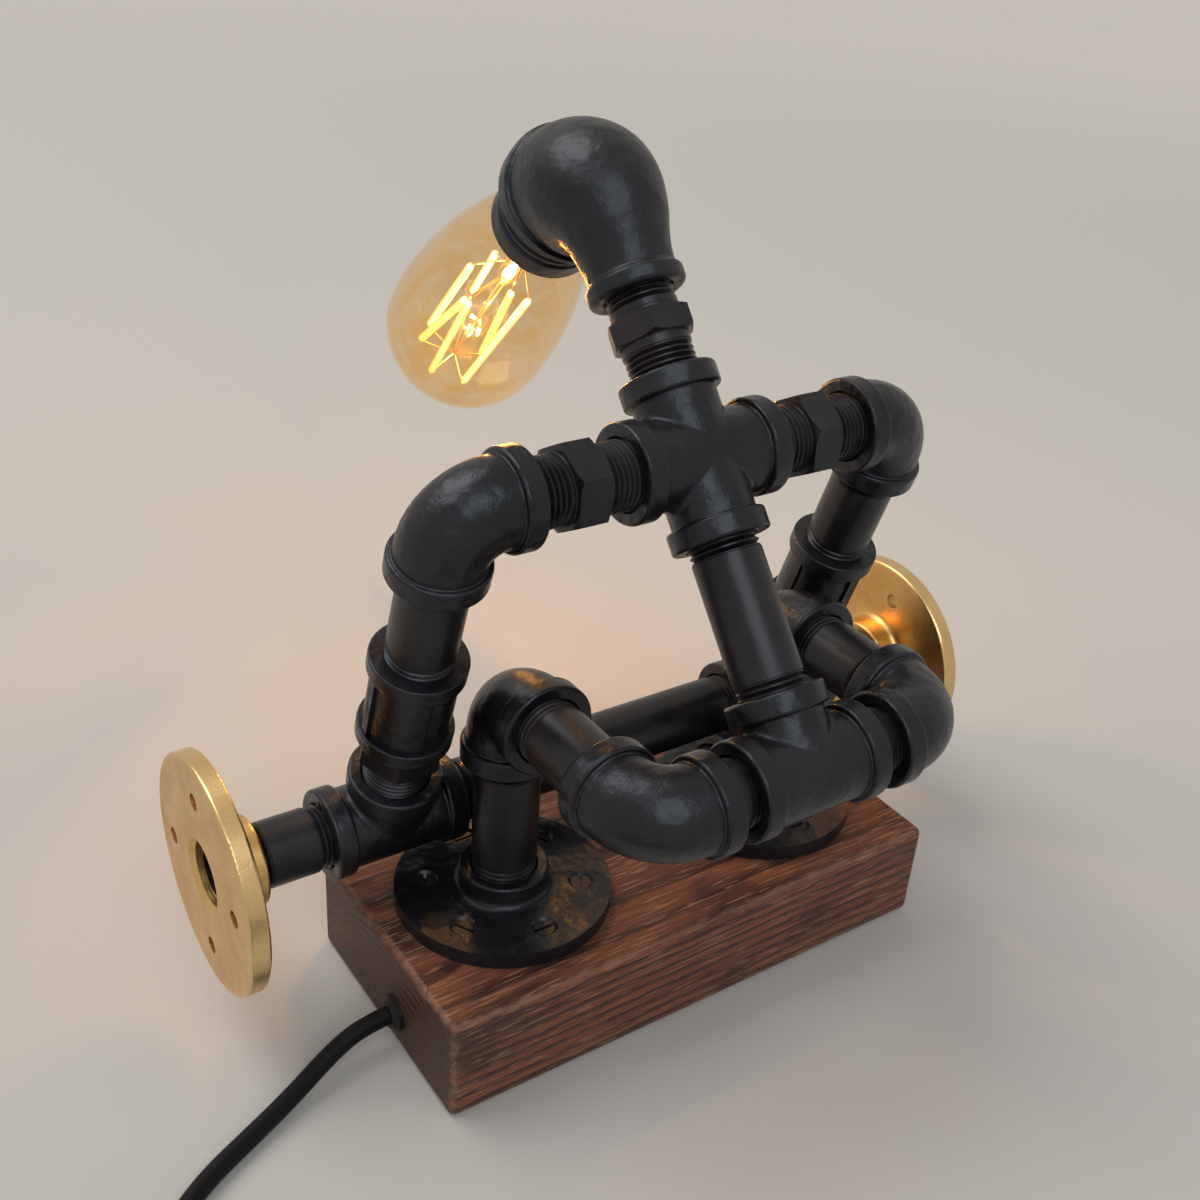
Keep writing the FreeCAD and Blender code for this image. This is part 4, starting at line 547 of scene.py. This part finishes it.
def stained_wood(name, early, late, worn, pitch):
    """Brushed softwood under dark stain.

    Growth rings are circles about a long axis under the block, so they show as
    arcs on the ends and as streaks along the top and sides. The soft wood of
    each ring is brushed out, and stain is rubbed off the edges and high fibres.
    """
    board = Board(name)
    at = board.place()
    x, y, z = board.split(at)
    wander = board.noise(board.stretch(at, (2.6, 11.0, 11.0)), 1.0, 3.0)
    ripple = board.noise(board.stretch(at, (20.0, 85.0, 85.0)), 1.0, 2.0)
    dy = y + 0.012 + (wander - 0.5) * 0.034
    dz = z + 0.034 + (wander - 0.5) * 0.018
    out = (dy * dy + dz * dz) ** 0.5 + (ripple - 0.5) * 0.0026
    ring = (out / pitch).math("FRACT")
    hard = ring.step(0.3, 0.86) * (1 - ring.step(0.92, 1.0))
    fibre = board.noise(board.stretch(at, (18.0, 620.0, 620.0)), 1.0, 4.0, 0.7)
    hair = board.noise(board.stretch(at, (42.0, 1900.0, 1900.0)), 1.0, 3.0, 0.6)
    thread = board.stretch(at, (75.0, 1300.0, 1300.0), move=(0.3, 0.1, 0.2))
    dash = board.noise(thread, 1.0, 2.0)
    patch = board.noise(board.stretch(at, (18.0, 42.0, 42.0)), 1.0, 4.0, 0.6)
    end = x.math("ABSOLUTE").step(BASE_HALF_LONG - 0.0015, BASE_HALF_LONG - 0.0002)
    long_grain = fibre.step(0.36, 0.66)
    colour = board.blend(hard * 0.9, early, late)
    colour = board.blend(long_grain * (1 - end) * 0.45, colour, late)
    colour = board.blend(hair.step(0.54, 0.72) * (1 - end) * 0.55, colour, worn)
    colour = board.blend(patch.step(0.5, 0.68) * 0.72, colour, late)
    colour = board.blend(dash.step(0.57, 0.66) * (1 - end) * 0.7, colour, worn)
    pores = board.noise(at, 1500.0, 2.0, 0.6).step(0.5, 0.68)
    colour = board.blend(pores * end * 0.55, colour, WOOD_PORE)
    colour = board.blend(end * 0.7, colour, late)
    dx = BASE_HALF_LONG - x.math("ABSOLUTE")
    dy = BASE_HALF_WIDE - y.math("ABSOLUTE")
    dz = (BASE_TALL - z).least(z)
    second = dx.least(dy).most(dx.most(dy).least(dz))
    rub = board.noise(board.stretch(at, (150.0, 300.0, 300.0)), 1.0, 3.0, 0.6)
    edge = (1 - (second + (rub - 0.5) * 0.006).step(0.0, 0.0026)) * 0.45
    colour = board.blend(edge, colour, worn)
    sheen = 0.5 - hard * 0.1 + (fibre - 0.5) * 0.25
    grooves = board.bump(hard * 0.6 + fibre * 0.6 + hair * 0.3, 0.0005)
    return board.solid(
        Base_Color=colour,
        Roughness=sheen,
        Specular_IOR_Level=0.45,
        Normal=grooves,
    )


def rubber(name, colour, shine=0.5, grit=0.00003, bloom_by=0.35, specular=0.35):
    """Black rubber or soft plastic with a dull bloom."""
    board = Board(name)
    at = board.place()
    bloom = board.noise(at, 110.0, 3.0, 0.6)
    fine = board.noise(at, 2200.0, 2.0, 0.5)
    tone = board.blend(bloom.step(0.4, 0.75) * bloom_by, colour, DULL_BLOOM)
    return board.solid(
        Base_Color=tone,
        Roughness=shine + (bloom - 0.5) * 0.2 + (fine - 0.5) * 0.08,
        Specular_IOR_Level=specular,
        Normal=board.bump(fine, grit),
    )


def bright_metal(name, colour, stain, shine):
    """Pressed or plated metal with handling marks."""
    board = Board(name)
    at = board.place()
    marks = board.noise(at, 240.0, 4.0, 0.65)
    fine = board.noise(at, 1600.0, 2.0, 0.5)
    tone = board.blend(marks.step(0.5, 0.78) * 0.6, colour, stain)
    return board.solid(
        Base_Color=tone,
        Metallic=1.0,
        Roughness=shine + (marks - 0.5) * 0.25,
        Normal=board.bump(fine, 0.00003),
    )


def amber_glass(name, tint, deep, rim, glow):
    """Thin tinted glass that lets light straight through.

    Its tint is deeper in swirls near the tip and thinner where it is seen at a
    slant, where it reflects more. About the strips the glass glows with painted
    light: a warm emission that stands in for the strips' light caught in the glass.
    """
    board = Board(name)
    at = board.place()
    slant = board.add("LayerWeight", sockets={"Blend": 0.5}, out="Facing")
    middle = tuple(-(HEAD + AHEAD * PAINTED_GLOW_MIDDLE))
    centred = board.stretch(at, (1.0, 1.0, 1.0), move=middle)
    length, dot = {"operation": "LENGTH"}, {"operation": "DOT_PRODUCT"}
    apart = board.add("VectorMath", length, {0: centred}, out="Value")
    along = board.add("VectorMath", dot, {0: centred, 1: AHEAD}, out="Value")
    swirl = board.noise(at, 44.0, 2.0, 0.5, 1.8)
    gather = swirl.step(0.36, 0.62)
    thick = gather * (0.25 + along.step(-0.03, 0.02) * 0.75)
    clear = board.add("BsdfTransparent", sockets={"Color": tint})
    amber = board.add("BsdfTransparent", sockets={"Color": deep})
    edge = board.add("BsdfTransparent", sockets={"Color": rim})
    wall = board.layer(slant ** 1.6, board.layer(thick, clear, amber), edge)
    # Painted glow: the glass near the strips emits warm light, strongest where it is seen face
    # on.
    near = (1 - apart.step(0.014, 0.050)) * (1 - slant) ** 1.2
    painted_glow_share = near * (0.13 + gather * 0.17) + 0.008
    painted_glow = board.add("Emission", sockets={"Color": glow})
    wall = board.layer(painted_glow_share, wall, painted_glow)
    wave = board.bump(board.noise(at, 60.0, 2.0, 0.5, 0.8), 0.0012)
    look = {"Color": (1.0, 0.96, 0.88), "Roughness": 0.035, "Normal": wave}
    gloss = board.add("BsdfGlossy", sockets=look)
    return board.finish(board.layer(slant ** 5.0 * 0.75 + 0.04, wall, gloss))


def clear_glass(name, tint):
    """The stem's clear glass."""
    board = Board(name)
    wall = board.add("BsdfTransparent", sockets={"Color": tint})
    gloss = board.add("BsdfGlossy", sockets={"Color": (1.0, 0.95, 0.85), "Roughness": 0.05})
    slant = board.add("LayerWeight", sockets={"Blend": 0.25}, out="Facing")
    return board.finish(board.layer(slant * 0.75, wall, gloss))


def lit_strip(name, core, skin, strength):
    """Glowing strips, nearly white in the middle and orange at their outline."""
    board = Board(name)
    slant = board.add("LayerWeight", sockets={"Blend": 0.5}, out="Facing")
    wave = board.noise(board.place(), 700.0, 1.0) - 0.5
    glow = board.blend((slant + wave * 0.12).step(0.2, 0.8), core, skin)
    return board.solid(
        Base_Color=(0.9, 0.6, 0.2),
        Roughness=0.6,
        Emission_Color=glow,
        Emission_Strength=strength,
    )


def finish_slots(materials):
    """Gives every CAD node whose slot is named the material for that slot."""
    done = 0
    for entry in frame["record"]["subparts"]:
        material = materials.get(entry["material_slot"])
        if material is None:
            continue
        node = frame["nodes"][entry["node"]]
        if not node.material_slots:
            node.data.materials.append(material)
        for place in node.material_slots:
            place.material = material
        done += 1
    if not done:
        raise RuntimeError("no node uses the slots %s" % sorted(materials))


# ---------------------------------------------------------------------------
# Settings
# ---------------------------------------------------------------------------
def colour_setting(name, text, value):
    return bpy.props.FloatVectorProperty(
        name=name, description=text, subtype="COLOR", default=value, min=0.0, max=1.0
    )


def length_setting(name, text, value):
    return bpy.props.FloatProperty(
        name=name, description=text, default=value, min=0.0, unit="LENGTH", precision=4
    )


class PipeLampSizes(bpy.types.PropertyGroup):
    """Lengths of the lamp's drawn parts."""

    cord_radius: length_setting("Cord Radius", "Half the thickness of the flex", 0.003)
    glass_radius: length_setting("Bulb Radius", "The glass at its widest", 0.0311)
    neck_radius: length_setting("Bulb Neck", "The glass where it leaves its holder", 0.0166)
    glass_wall: length_setting("Glass Wall", "Thickness of the blown glass", 0.0008)
    strip_radius: length_setting("Strip Radius", "Half the thickness of a lit strip", 0.0013)
    ring_pitch: length_setting("Ring Pitch", "From one growth ring to the next", 0.0036)


class PipeLampColours(bpy.types.PropertyGroup):
    """Colours of its finishes, its light and its stage."""

    iron: colour_setting("Iron", "Black coat on the castings", (0.0045, 0.0044, 0.0062))
    iron_light: colour_setting("Iron, Thin", "The coat where it is thin", (0.013, 0.012, 0.015))
    brass: colour_setting("Brass", "Brushed brass of the discs", (0.77, 0.515, 0.21))
    brass_deep: colour_setting("Brass, Deep", "Duller patches of it", (0.63, 0.395, 0.14))
    wood_soft: colour_setting("Soft Wood", "Stained early wood", (0.225, 0.070, 0.033))
    wood_hard: colour_setting("Hard Wood", "Stained late wood", (0.030, 0.0110, 0.0080))
    wood_worn: colour_setting("Worn Wood", "Where stain is rubbed off", (0.38, 0.195, 0.105))
    rubber: colour_setting("Rubber", "Flex and mouldings", (0.005, 0.005, 0.006))
    glass: colour_setting("Glass", "Tint of the bulb", (0.990, 0.940, 0.850))
    glass_deep: colour_setting("Glass, Deep", "Its deeper swirls", (0.980, 0.850, 0.590))
    glass_rim: colour_setting("Glass Rim", "Tint seen at a slant", (0.975, 0.915, 0.815))
    glow: colour_setting("Glow", "Light of the strips", (1.0, 0.49, 0.12))
    floor: colour_setting("Floor", "Under the lamp", (0.575, 0.545, 0.500))
    backdrop: colour_setting("Backdrop", "The floor behind the lamp", (0.620, 0.580, 0.520))
    wall: colour_setting("Wall", "The room beyond the floor", (0.552, 0.515, 0.465))


# ---------------------------------------------------------------------------
# Operators
# ---------------------------------------------------------------------------
def lamp(scene, name, kind, place, power, colour):
    """A light of this kind at a place, linked to the scene."""
    data = bpy.data.lights.new(name, kind)
    data.energy = power
    data.color = colour
    item = bpy.data.objects.new(name, data)
    item.location = place
    scene.collection.objects.link(item)
    return item


class AimCamera(bpy.types.Operator):
    """Sets a camera above and behind the figure's left shoulder."""

    bl_idname = "pipelamp.aim_camera"
    bl_label = "Aim Camera"

    def execute(self, context):
        scene = context.scene
        turn, tilt, roll = (math.radians(value) for value in CAMERA_ANGLES)
        back = Vector(
            (math.sin(turn) * math.cos(tilt), -math.cos(turn) * math.cos(tilt), math.sin(tilt))
        )
        right = Vector((math.cos(turn), math.sin(turn), 0.0))
        up = back.cross(right)
        rolled = right * math.cos(roll) + up * math.sin(roll)
        upright = up * math.cos(roll) - right * math.sin(roll)
        data = bpy.data.cameras.new("camera")
        data.sensor_width = CAMERA_SENSOR
        data.lens = CAMERA_LENS
        data.clip_start = 0.01
        data.clip_end = 60.0
        camera = bpy.data.objects.new("camera", data)
        scene.collection.objects.link(camera)
        axes = Matrix((rolled, upright, back)).transposed()
        camera.matrix_world = Matrix.Translation(CAMERA_PLACE) @ axes.to_4x4()
        scene.camera = camera
        return {"FINISHED"}


def coil_turns():
    """Points of the wound cord: inwards on the floor, then outwards on top.

    At angle t a point is the coil's centre plus the radius times (cos t, sin t).
    The radius keeps to a ring, and moves to the next one over a quarter turn.
    The spline runs inside its points, so they stand out by 1 / cos of half a step.
    """
    marks = [mark for _, *ends in COIL_RINGS for mark in ends]
    out = [radius for radius, *ends in COIL_RINGS for _ in ends]
    angle = np.arange(float(marks[0]), marks[-1] + 1.0, COIL_STEP)
    radius = np.interp(angle, marks, out) / 1000 / math.cos(math.radians(COIL_STEP / 2))
    height = np.interp(angle, COIL_CLIMB, COIL_HEIGHTS)
    turn = np.radians(angle)
    x = COIL_CENTRE[0] + radius * np.cos(turn)
    y = COIL_CENTRE[1] + radius * np.sin(turn)
    return np.stack((x, y, height), -1).tolist()


class LayCord(bpy.types.Operator):
    """Lays the flex from the base, through its switch, into a tied coil, to its plug."""

    bl_idname = "pipelamp.lay_cord"
    bl_label = "Lay Cord"

    def execute(self, context):
        scene = context.scene
        sizes, colours = scene.pipe_lamp_sizes, scene.pipe_lamp_colours
        points = [*ROUTE_TO_COIL, *coil_turns(), *ROUTE_TO_PLUG]
        curve = bpy.data.curves.new("power_cord", "CURVE")
        curve.dimensions = "3D"
        spline = curve.splines.new("NURBS")
        spline.points.add(len(points) - 1)
        for point, place in zip(spline.points, points):
            point.co = (*place, 1.0)
        spline.order_u = 3
        spline.use_endpoint_u = True
        spline.resolution_u = 6
        curve.bevel_depth = sizes.cord_radius
        curve.bevel_resolution = 4
        curve.use_fill_caps = True
        sheath = rubber("cord_sheath", colours.rubber, 0.5, bloom_by=0.1, specular=0.16)
        curve.materials.append(sheath)
        cord = bpy.data.objects.new("power_cord", curve)
        scene.collection.objects.link(cord)
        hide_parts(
            "supply_cord", "switch_to_coil_cord", "cord_coil", "coil_to_plug_cord"
        )
        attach(cord, "stand")
        return {"FINISHED"}


class BlowBulb(bpy.types.Operator):
    """Blows the tinted bulb and finishes its cap's metal."""

    bl_idname = "pipelamp.blow_bulb"
    bl_label = "Blow Bulb"

    def skin(self, sizes, wall):
        """The glass from its tip back to its neck, drawn in by the wall.

        The end is a quarter circle. From the widest point back to the neck, the
        radius falls with the square of the way gone, and then it turns in to the
        throat on a quarter of an ellipse.
        """
        wide = sizes.glass_radius
        neck = sizes.neck_radius
        throat = GLASS_THROAT
        swing = np.linspace(0.0, np.pi / 2, 40)
        dome_radius = (wide - wall) * np.sin(swing)
        dome_along = GLASS_WIDEST + (wide - wall) * np.cos(swing)
        way = np.linspace(0.0, 1.0, 48)[1:]
        side_radius = wide - (wide - neck) * way**2 - wall
        side_along = GLASS_WIDEST - (GLASS_WIDEST - GLASS_NECK) * way
        turn = np.linspace(0.0, np.pi / 2, 12)[1:]
        lip_radius = throat - wall + (neck - throat) * np.cos(turn)
        lip_along = GLASS_NECK - (GLASS_NECK - GLASS_LIP) * np.sin(turn)
        radius = np.concatenate((dome_radius, side_radius, lip_radius, [throat - wall]))
        along = np.concatenate((dome_along, side_along, lip_along, [GLASS_START]))
        return radius, along

    def execute(self, context):
        sizes, colours = context.scene.pipe_lamp_sizes, context.scene.pipe_lamp_colours
        outer_radius, outer_along = self.skin(sizes, 0.0)
        inner_radius, inner_along = self.skin(sizes, sizes.glass_wall)
        radius = np.concatenate((outer_radius, inner_radius[::-1]))
        along = np.concatenate((outer_along, inner_along[::-1]))
        tints = (colours.glass, colours.glass_deep, colours.glass_rim)
        glass = amber_glass("amber_glass", *tints, colours.glow)
        shape = lathe(radius, along, 128)
        piece("bulb_skin", shape, "bulb", glass, ["bulb_glass"])
        cap = bright_metal("cap_metal", (0.82, 0.78, 0.7), (0.5, 0.42, 0.3), 0.25)
        finish_slots({"cap_metal": cap})
        return {"FINISHED"}


class LightStrips(bpy.types.Operator):
    """Stands the stem, its wires and the lit strips in the bulb, with the light they give."""

    bl_idname = "pipelamp.light_strips"
    bl_label = "Light Strips"

    def execute(self, context):
        scene = context.scene
        self.stem()
        self.strips(scene.pipe_lamp_sizes)
        colour = scene.pipe_lamp_colours.glow
        for name, along in GLOW_LAMPS:
            glow = lamp(scene, name, "POINT", HEAD + AHEAD * along, GLOW_POWER, colour)
            glow.data.shadow_soft_size = GLOW_RADIUS
            glow.visible_camera = False
            glow.visible_transmission = False
            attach(glow, "bulb")
        return {"FINISHED"}

    def stem(self):
        """A flared foot that narrows with the cube of the way gone, then a drawn-out tip."""
        start = GLASS_START + 0.0002
        way = np.linspace(0.0, 1.0, 24)
        foot_radius = STEM_WAIST + (STEM_FLARE - STEM_WAIST) * (1 - way) ** 3
        foot_along = start + 0.022 * way
        tip = np.linspace(0.0, np.pi / 2, 14)[1:]
        tip_radius = STEM_WAIST * np.cos(tip)
        tip_along = STEM_END - 0.009 + 0.009 * np.sin(tip)
        radius = np.concatenate(([0.0], foot_radius, [STEM_WAIST], tip_radius))
        along = np.concatenate(([start], foot_along, [0.075], tip_along))
        radius[-1] = 0.0
        glass = clear_glass("clear_glass", (0.97, 0.93, 0.84))
        shape = lathe(radius, along, 48)
        piece("bulb_stem_glass", shape, "bulb", glass, ["bulb_stem"])

    def strips(self, sizes):
        """Strips with round ends, each on a wire from the stem and one to the far hub."""
        hub = on_axis(*HUB)
        lit, wires = [], []
        for near, far in STRIPS:
            low, high = on_axis(*near), on_axis(*far)
            share = np.linspace(0.0, 1.0, 33)
            path = low + (high - low) * share[:, None]
            end = np.minimum(share, 1 - share) / 0.02
            radius = sizes.strip_radius * np.sqrt(1 - (1 - np.clip(end, 0.12, 1)) ** 2)
            lit.append(rod(path, radius, 16))
            root = on_axis(near[0] - 0.008, near[1], 0.0042)
            wires.append(rod(np.linspace(root, low, 9), WIRE_RADIUS, 8))
            middle = (high + hub) / 2 + AHEAD * 0.0015
            share = np.linspace(0.0, 1.0, 13)[:, None]
            bow = high * (1 - share) ** 2 + 2 * middle * share * (1 - share) + hub * share**2
            wires.append(rod(bow, WIRE_RADIUS, 8))
        for side in (-0.0014, 0.0014):
            foot = on_axis(STEM_END - 0.004, 0.0, side)
            wires.append(rod(np.linspace(foot, hub, 12), 0.00035, 8))
        glow = lit_strip("filament", (1.0, 0.93, 0.72), (1.0, 0.32, 0.03), 2.4)
        piece("lit_strips", joined(lit), "bulb", glow, ["bulb_filaments"])
        wire = bright_metal("support_wire", (0.95, 0.66, 0.3), (0.8, 0.4, 0.12), 0.3)
        piece("support_wires", joined(wires), "bulb", wire, ["bulb_filaments"])


class FinishFittings(bpy.types.Operator):
    """Coats the cast elbows, tees, cross, couplings, flanges and lampholder."""

    bl_idname = "pipelamp.finish_fittings"
    bl_label = "Finish Castings"

    def execute(self, context):
        colours = context.scene.pipe_lamp_colours
        iron = cast_iron("black_iron", colours.iron, colours.iron_light, 0.31, 0.0001)
        holder = cast_iron("black_lampholder", colours.iron, colours.iron_light, 0.4, 0.00004)
        finish_slots({"black_iron": iron, "black_lampholder": holder})
        return {"FINISHED"}


class CastHead(bpy.types.Operator):
    """Casts the elbow that is the figure's head, wide at its mouth and narrow at its neck."""

    bl_idname = "pipelamp.cast_head"
    bl_label = "Cast Head"

    def execute(self, context):
        colours = context.scene.pipe_lamp_colours
        iron = cast_iron("head_iron", colours.iron, colours.iron_light, 0.36, 0.00008)
        piece("head_casting", head_shell(), "head", iron, ["head_elbow"])
        return {"FINISHED"}


class FinishPipes(bpy.types.Operator):
    """Finishes the pipes, their threads, and the wood screws."""

    bl_idname = "pipelamp.finish_pipes"
    bl_label = "Finish Pipes"

    def execute(self, context):
        colours = context.scene.pipe_lamp_colours
        pipe = drawn_pipe("black_pipe", colours.iron, colours.iron_light, 0.33)
        screw = drawn_pipe("black_screws", (0.008, 0.008, 0.009), (0.016, 0.015, 0.015), 0.36)
        finish_slots({"black_pipe": pipe, "black_screws": screw})
        return {"FINISHED"}


class FinishDiscs(bpy.types.Operator):
    """Brushes the brass discs and the brass inside the lampholder."""

    bl_idname = "pipelamp.finish_discs"
    bl_label = "Finish Brass"

    def execute(self, context):
        colours = context.scene.pipe_lamp_colours
        disc = satin_brass("satin_brass", colours.brass, colours.brass_deep)
        inside = bright_metal("holder_brass", colours.brass, colours.brass_deep, 0.3)
        finish_slots({"satin_brass": disc, "holder_brass": inside})
        return {"FINISHED"}


class FinishBase(bpy.types.Operator):
    """Stains and brushes the wooden base, and finishes its grommet."""

    bl_idname = "pipelamp.finish_base"
    bl_label = "Finish Base"

    def execute(self, context):
        sizes, colours = context.scene.pipe_lamp_sizes, context.scene.pipe_lamp_colours
        wood = stained_wood(
            "stained_wood",
            colours.wood_soft,
            colours.wood_hard,
            colours.wood_worn,
            sizes.ring_pitch,
        )
        grommet = rubber("grommet_rubber", colours.rubber, 0.45)
        finish_slots({"stained_wood": wood, "grommet_rubber": grommet})
        return {"FINISHED"}


class FinishMouldings(bpy.types.Operator):
    """Finishes the switch, plug, tie and insulator."""

    bl_idname = "pipelamp.finish_mouldings"
    bl_label = "Finish Mouldings"

    def execute(self, context):
        colours = context.scene.pipe_lamp_colours
        pins = bright_metal("pin_metal", (0.76, 0.74, 0.71), (0.5, 0.48, 0.45), 0.22)
        finish_slots(
            {
                "black_plastic": rubber("black_plastic", (0.018, 0.018, 0.019), 0.48, 0.00008),
                "rocker_plastic": rubber("rocker_plastic", (0.022, 0.022, 0.024), 0.28),
                "tie_plastic": rubber("tie_plastic", (0.02, 0.02, 0.02), 0.55, 0.00008),
                "insulator": rubber("insulator", (0.62, 0.58, 0.5), 0.4, bloom_by=0.02),
                "pin_metal": pins,
                "cord_sheath": rubber("lead_sheath", colours.rubber, 0.5, specular=0.16),
            }
        )
        return {"FINISHED"}


class SetStage(bpy.types.Operator):
    """Lays a plain floor and sets soft studio light."""

    bl_idname = "pipelamp.set_stage"
    bl_label = "Set Stage"

    def execute(self, context):
        scene = context.scene
        scene.view_settings.view_transform = "Standard"
        self.floor(scene, scene.pipe_lamp_colours)
        self.world(scene, scene.pipe_lamp_colours)
        for name, place, wide, power, colour in PANELS:
            panel = lamp(scene, name, "AREA", place, power, colour)
            panel.data.size = wide
            aim = Vector(PANEL_AIM) - panel.location
            panel.rotation_euler = aim.to_track_quat("-Z", "Y").to_euler()
        return {"FINISHED"}

    def floor(self, scene, colours):
        """One flat square, which turns into the colour of the wall far out."""
        corners = ((-1, -1), (1, -1), (1, 1), (-1, 1))
        reach = [(x * FLOOR_HALF, y * FLOOR_HALF, -FLOOR_DROP) for x, y in corners]
        mesh = bpy.data.meshes.new("floor")
        mesh.from_pydata(reach, [], [(0, 1, 2, 3)])
        board = Board("floor")
        at = board.place()
        x, y, _ = board.split(at)
        away = x * LOOKING[0] + y * LOOKING[1]
        mottle = board.noise(at, 9.0, 3.0, 0.5) - 0.5
        darker = [value * 0.97 for value in colours.floor]
        near = board.blend(mottle * 0.25 + 0.5, colours.floor, darker)
        tone = board.blend((away + mottle * 0.05).step(0.08, 0.32), near, colours.backdrop)
        ground = {"Base Color": tone, "Roughness": 0.85, "Specular IOR Level": 0.2}
        ground = board.add("BsdfPrincipled", sockets=ground)
        wall = board.add("Emission", sockets={"Color": colours.wall})
        far = (x * x + y * y) ** 0.5
        seen = far.step(*FLOOR_FADE) * board.seen()
        mesh.materials.append(board.finish(board.layer(seen, ground, wall)))
        item = bpy.data.objects.new("floor", mesh)
        scene.collection.objects.link(item)

    def world(self, scene, colours):
        """A plain room that is seen in one colour and lights the lamp in another."""
        scene.world = bpy.data.worlds.new("room")
        board = Board(world=scene.world)
        seen = board.seen()
        light = board.add("Background", sockets={"Color": (0.97, 0.985, 1.0), "Strength": 0.4})
        wall = board.add("Background", sockets={"Color": colours.wall, "Strength": 1.0})
        board.add("OutputWorld", sockets={"Surface": board.layer(seen, light, wall)})


STEPS = (
    AimCamera,
    LayCord,
    BlowBulb,
    LightStrips,
    FinishFittings,
    CastHead,
    FinishPipes,
    FinishDiscs,
    FinishBase,
    FinishMouldings,
    SetStage,
)


class PipeLampPanel(bpy.types.Panel):
    """The lamp's settings and steps."""

    bl_idname = "VIEW3D_PT_pipe_lamp"
    bl_label = "Seated Pipe Lamp"
    bl_space_type = "VIEW_3D"
    bl_region_type = "UI"
    bl_category = "Pipe Lamp"

    def draw(self, context):
        for group in (context.scene.pipe_lamp_sizes, context.scene.pipe_lamp_colours):
            box = self.layout.box()
            for name in group.__annotations__:
                box.prop(group, name)
        for step in STEPS:
            self.layout.operator(step.bl_idname)


CLASSES = (PipeLampSizes, PipeLampColours, *STEPS, PipeLampPanel)


def register():
    for item in CLASSES:
        bpy.utils.register_class(item)
    bpy.types.Scene.pipe_lamp_sizes = bpy.props.PointerProperty(type=PipeLampSizes)
    bpy.types.Scene.pipe_lamp_colours = bpy.props.PointerProperty(type=PipeLampColours)


def unregister():
    del bpy.types.Scene.pipe_lamp_colours
    del bpy.types.Scene.pipe_lamp_sizes
    for item in reversed(CLASSES):
        bpy.utils.unregister_class(item)


def main():
    register()
    for step in STEPS:
        group, name = step.bl_idname.split(".")
        if getattr(getattr(bpy.ops, group), name)() != {"FINISHED"}:
            raise RuntimeError("%s did not finish" % step.bl_label)


if __name__ == "__main__":
    main()
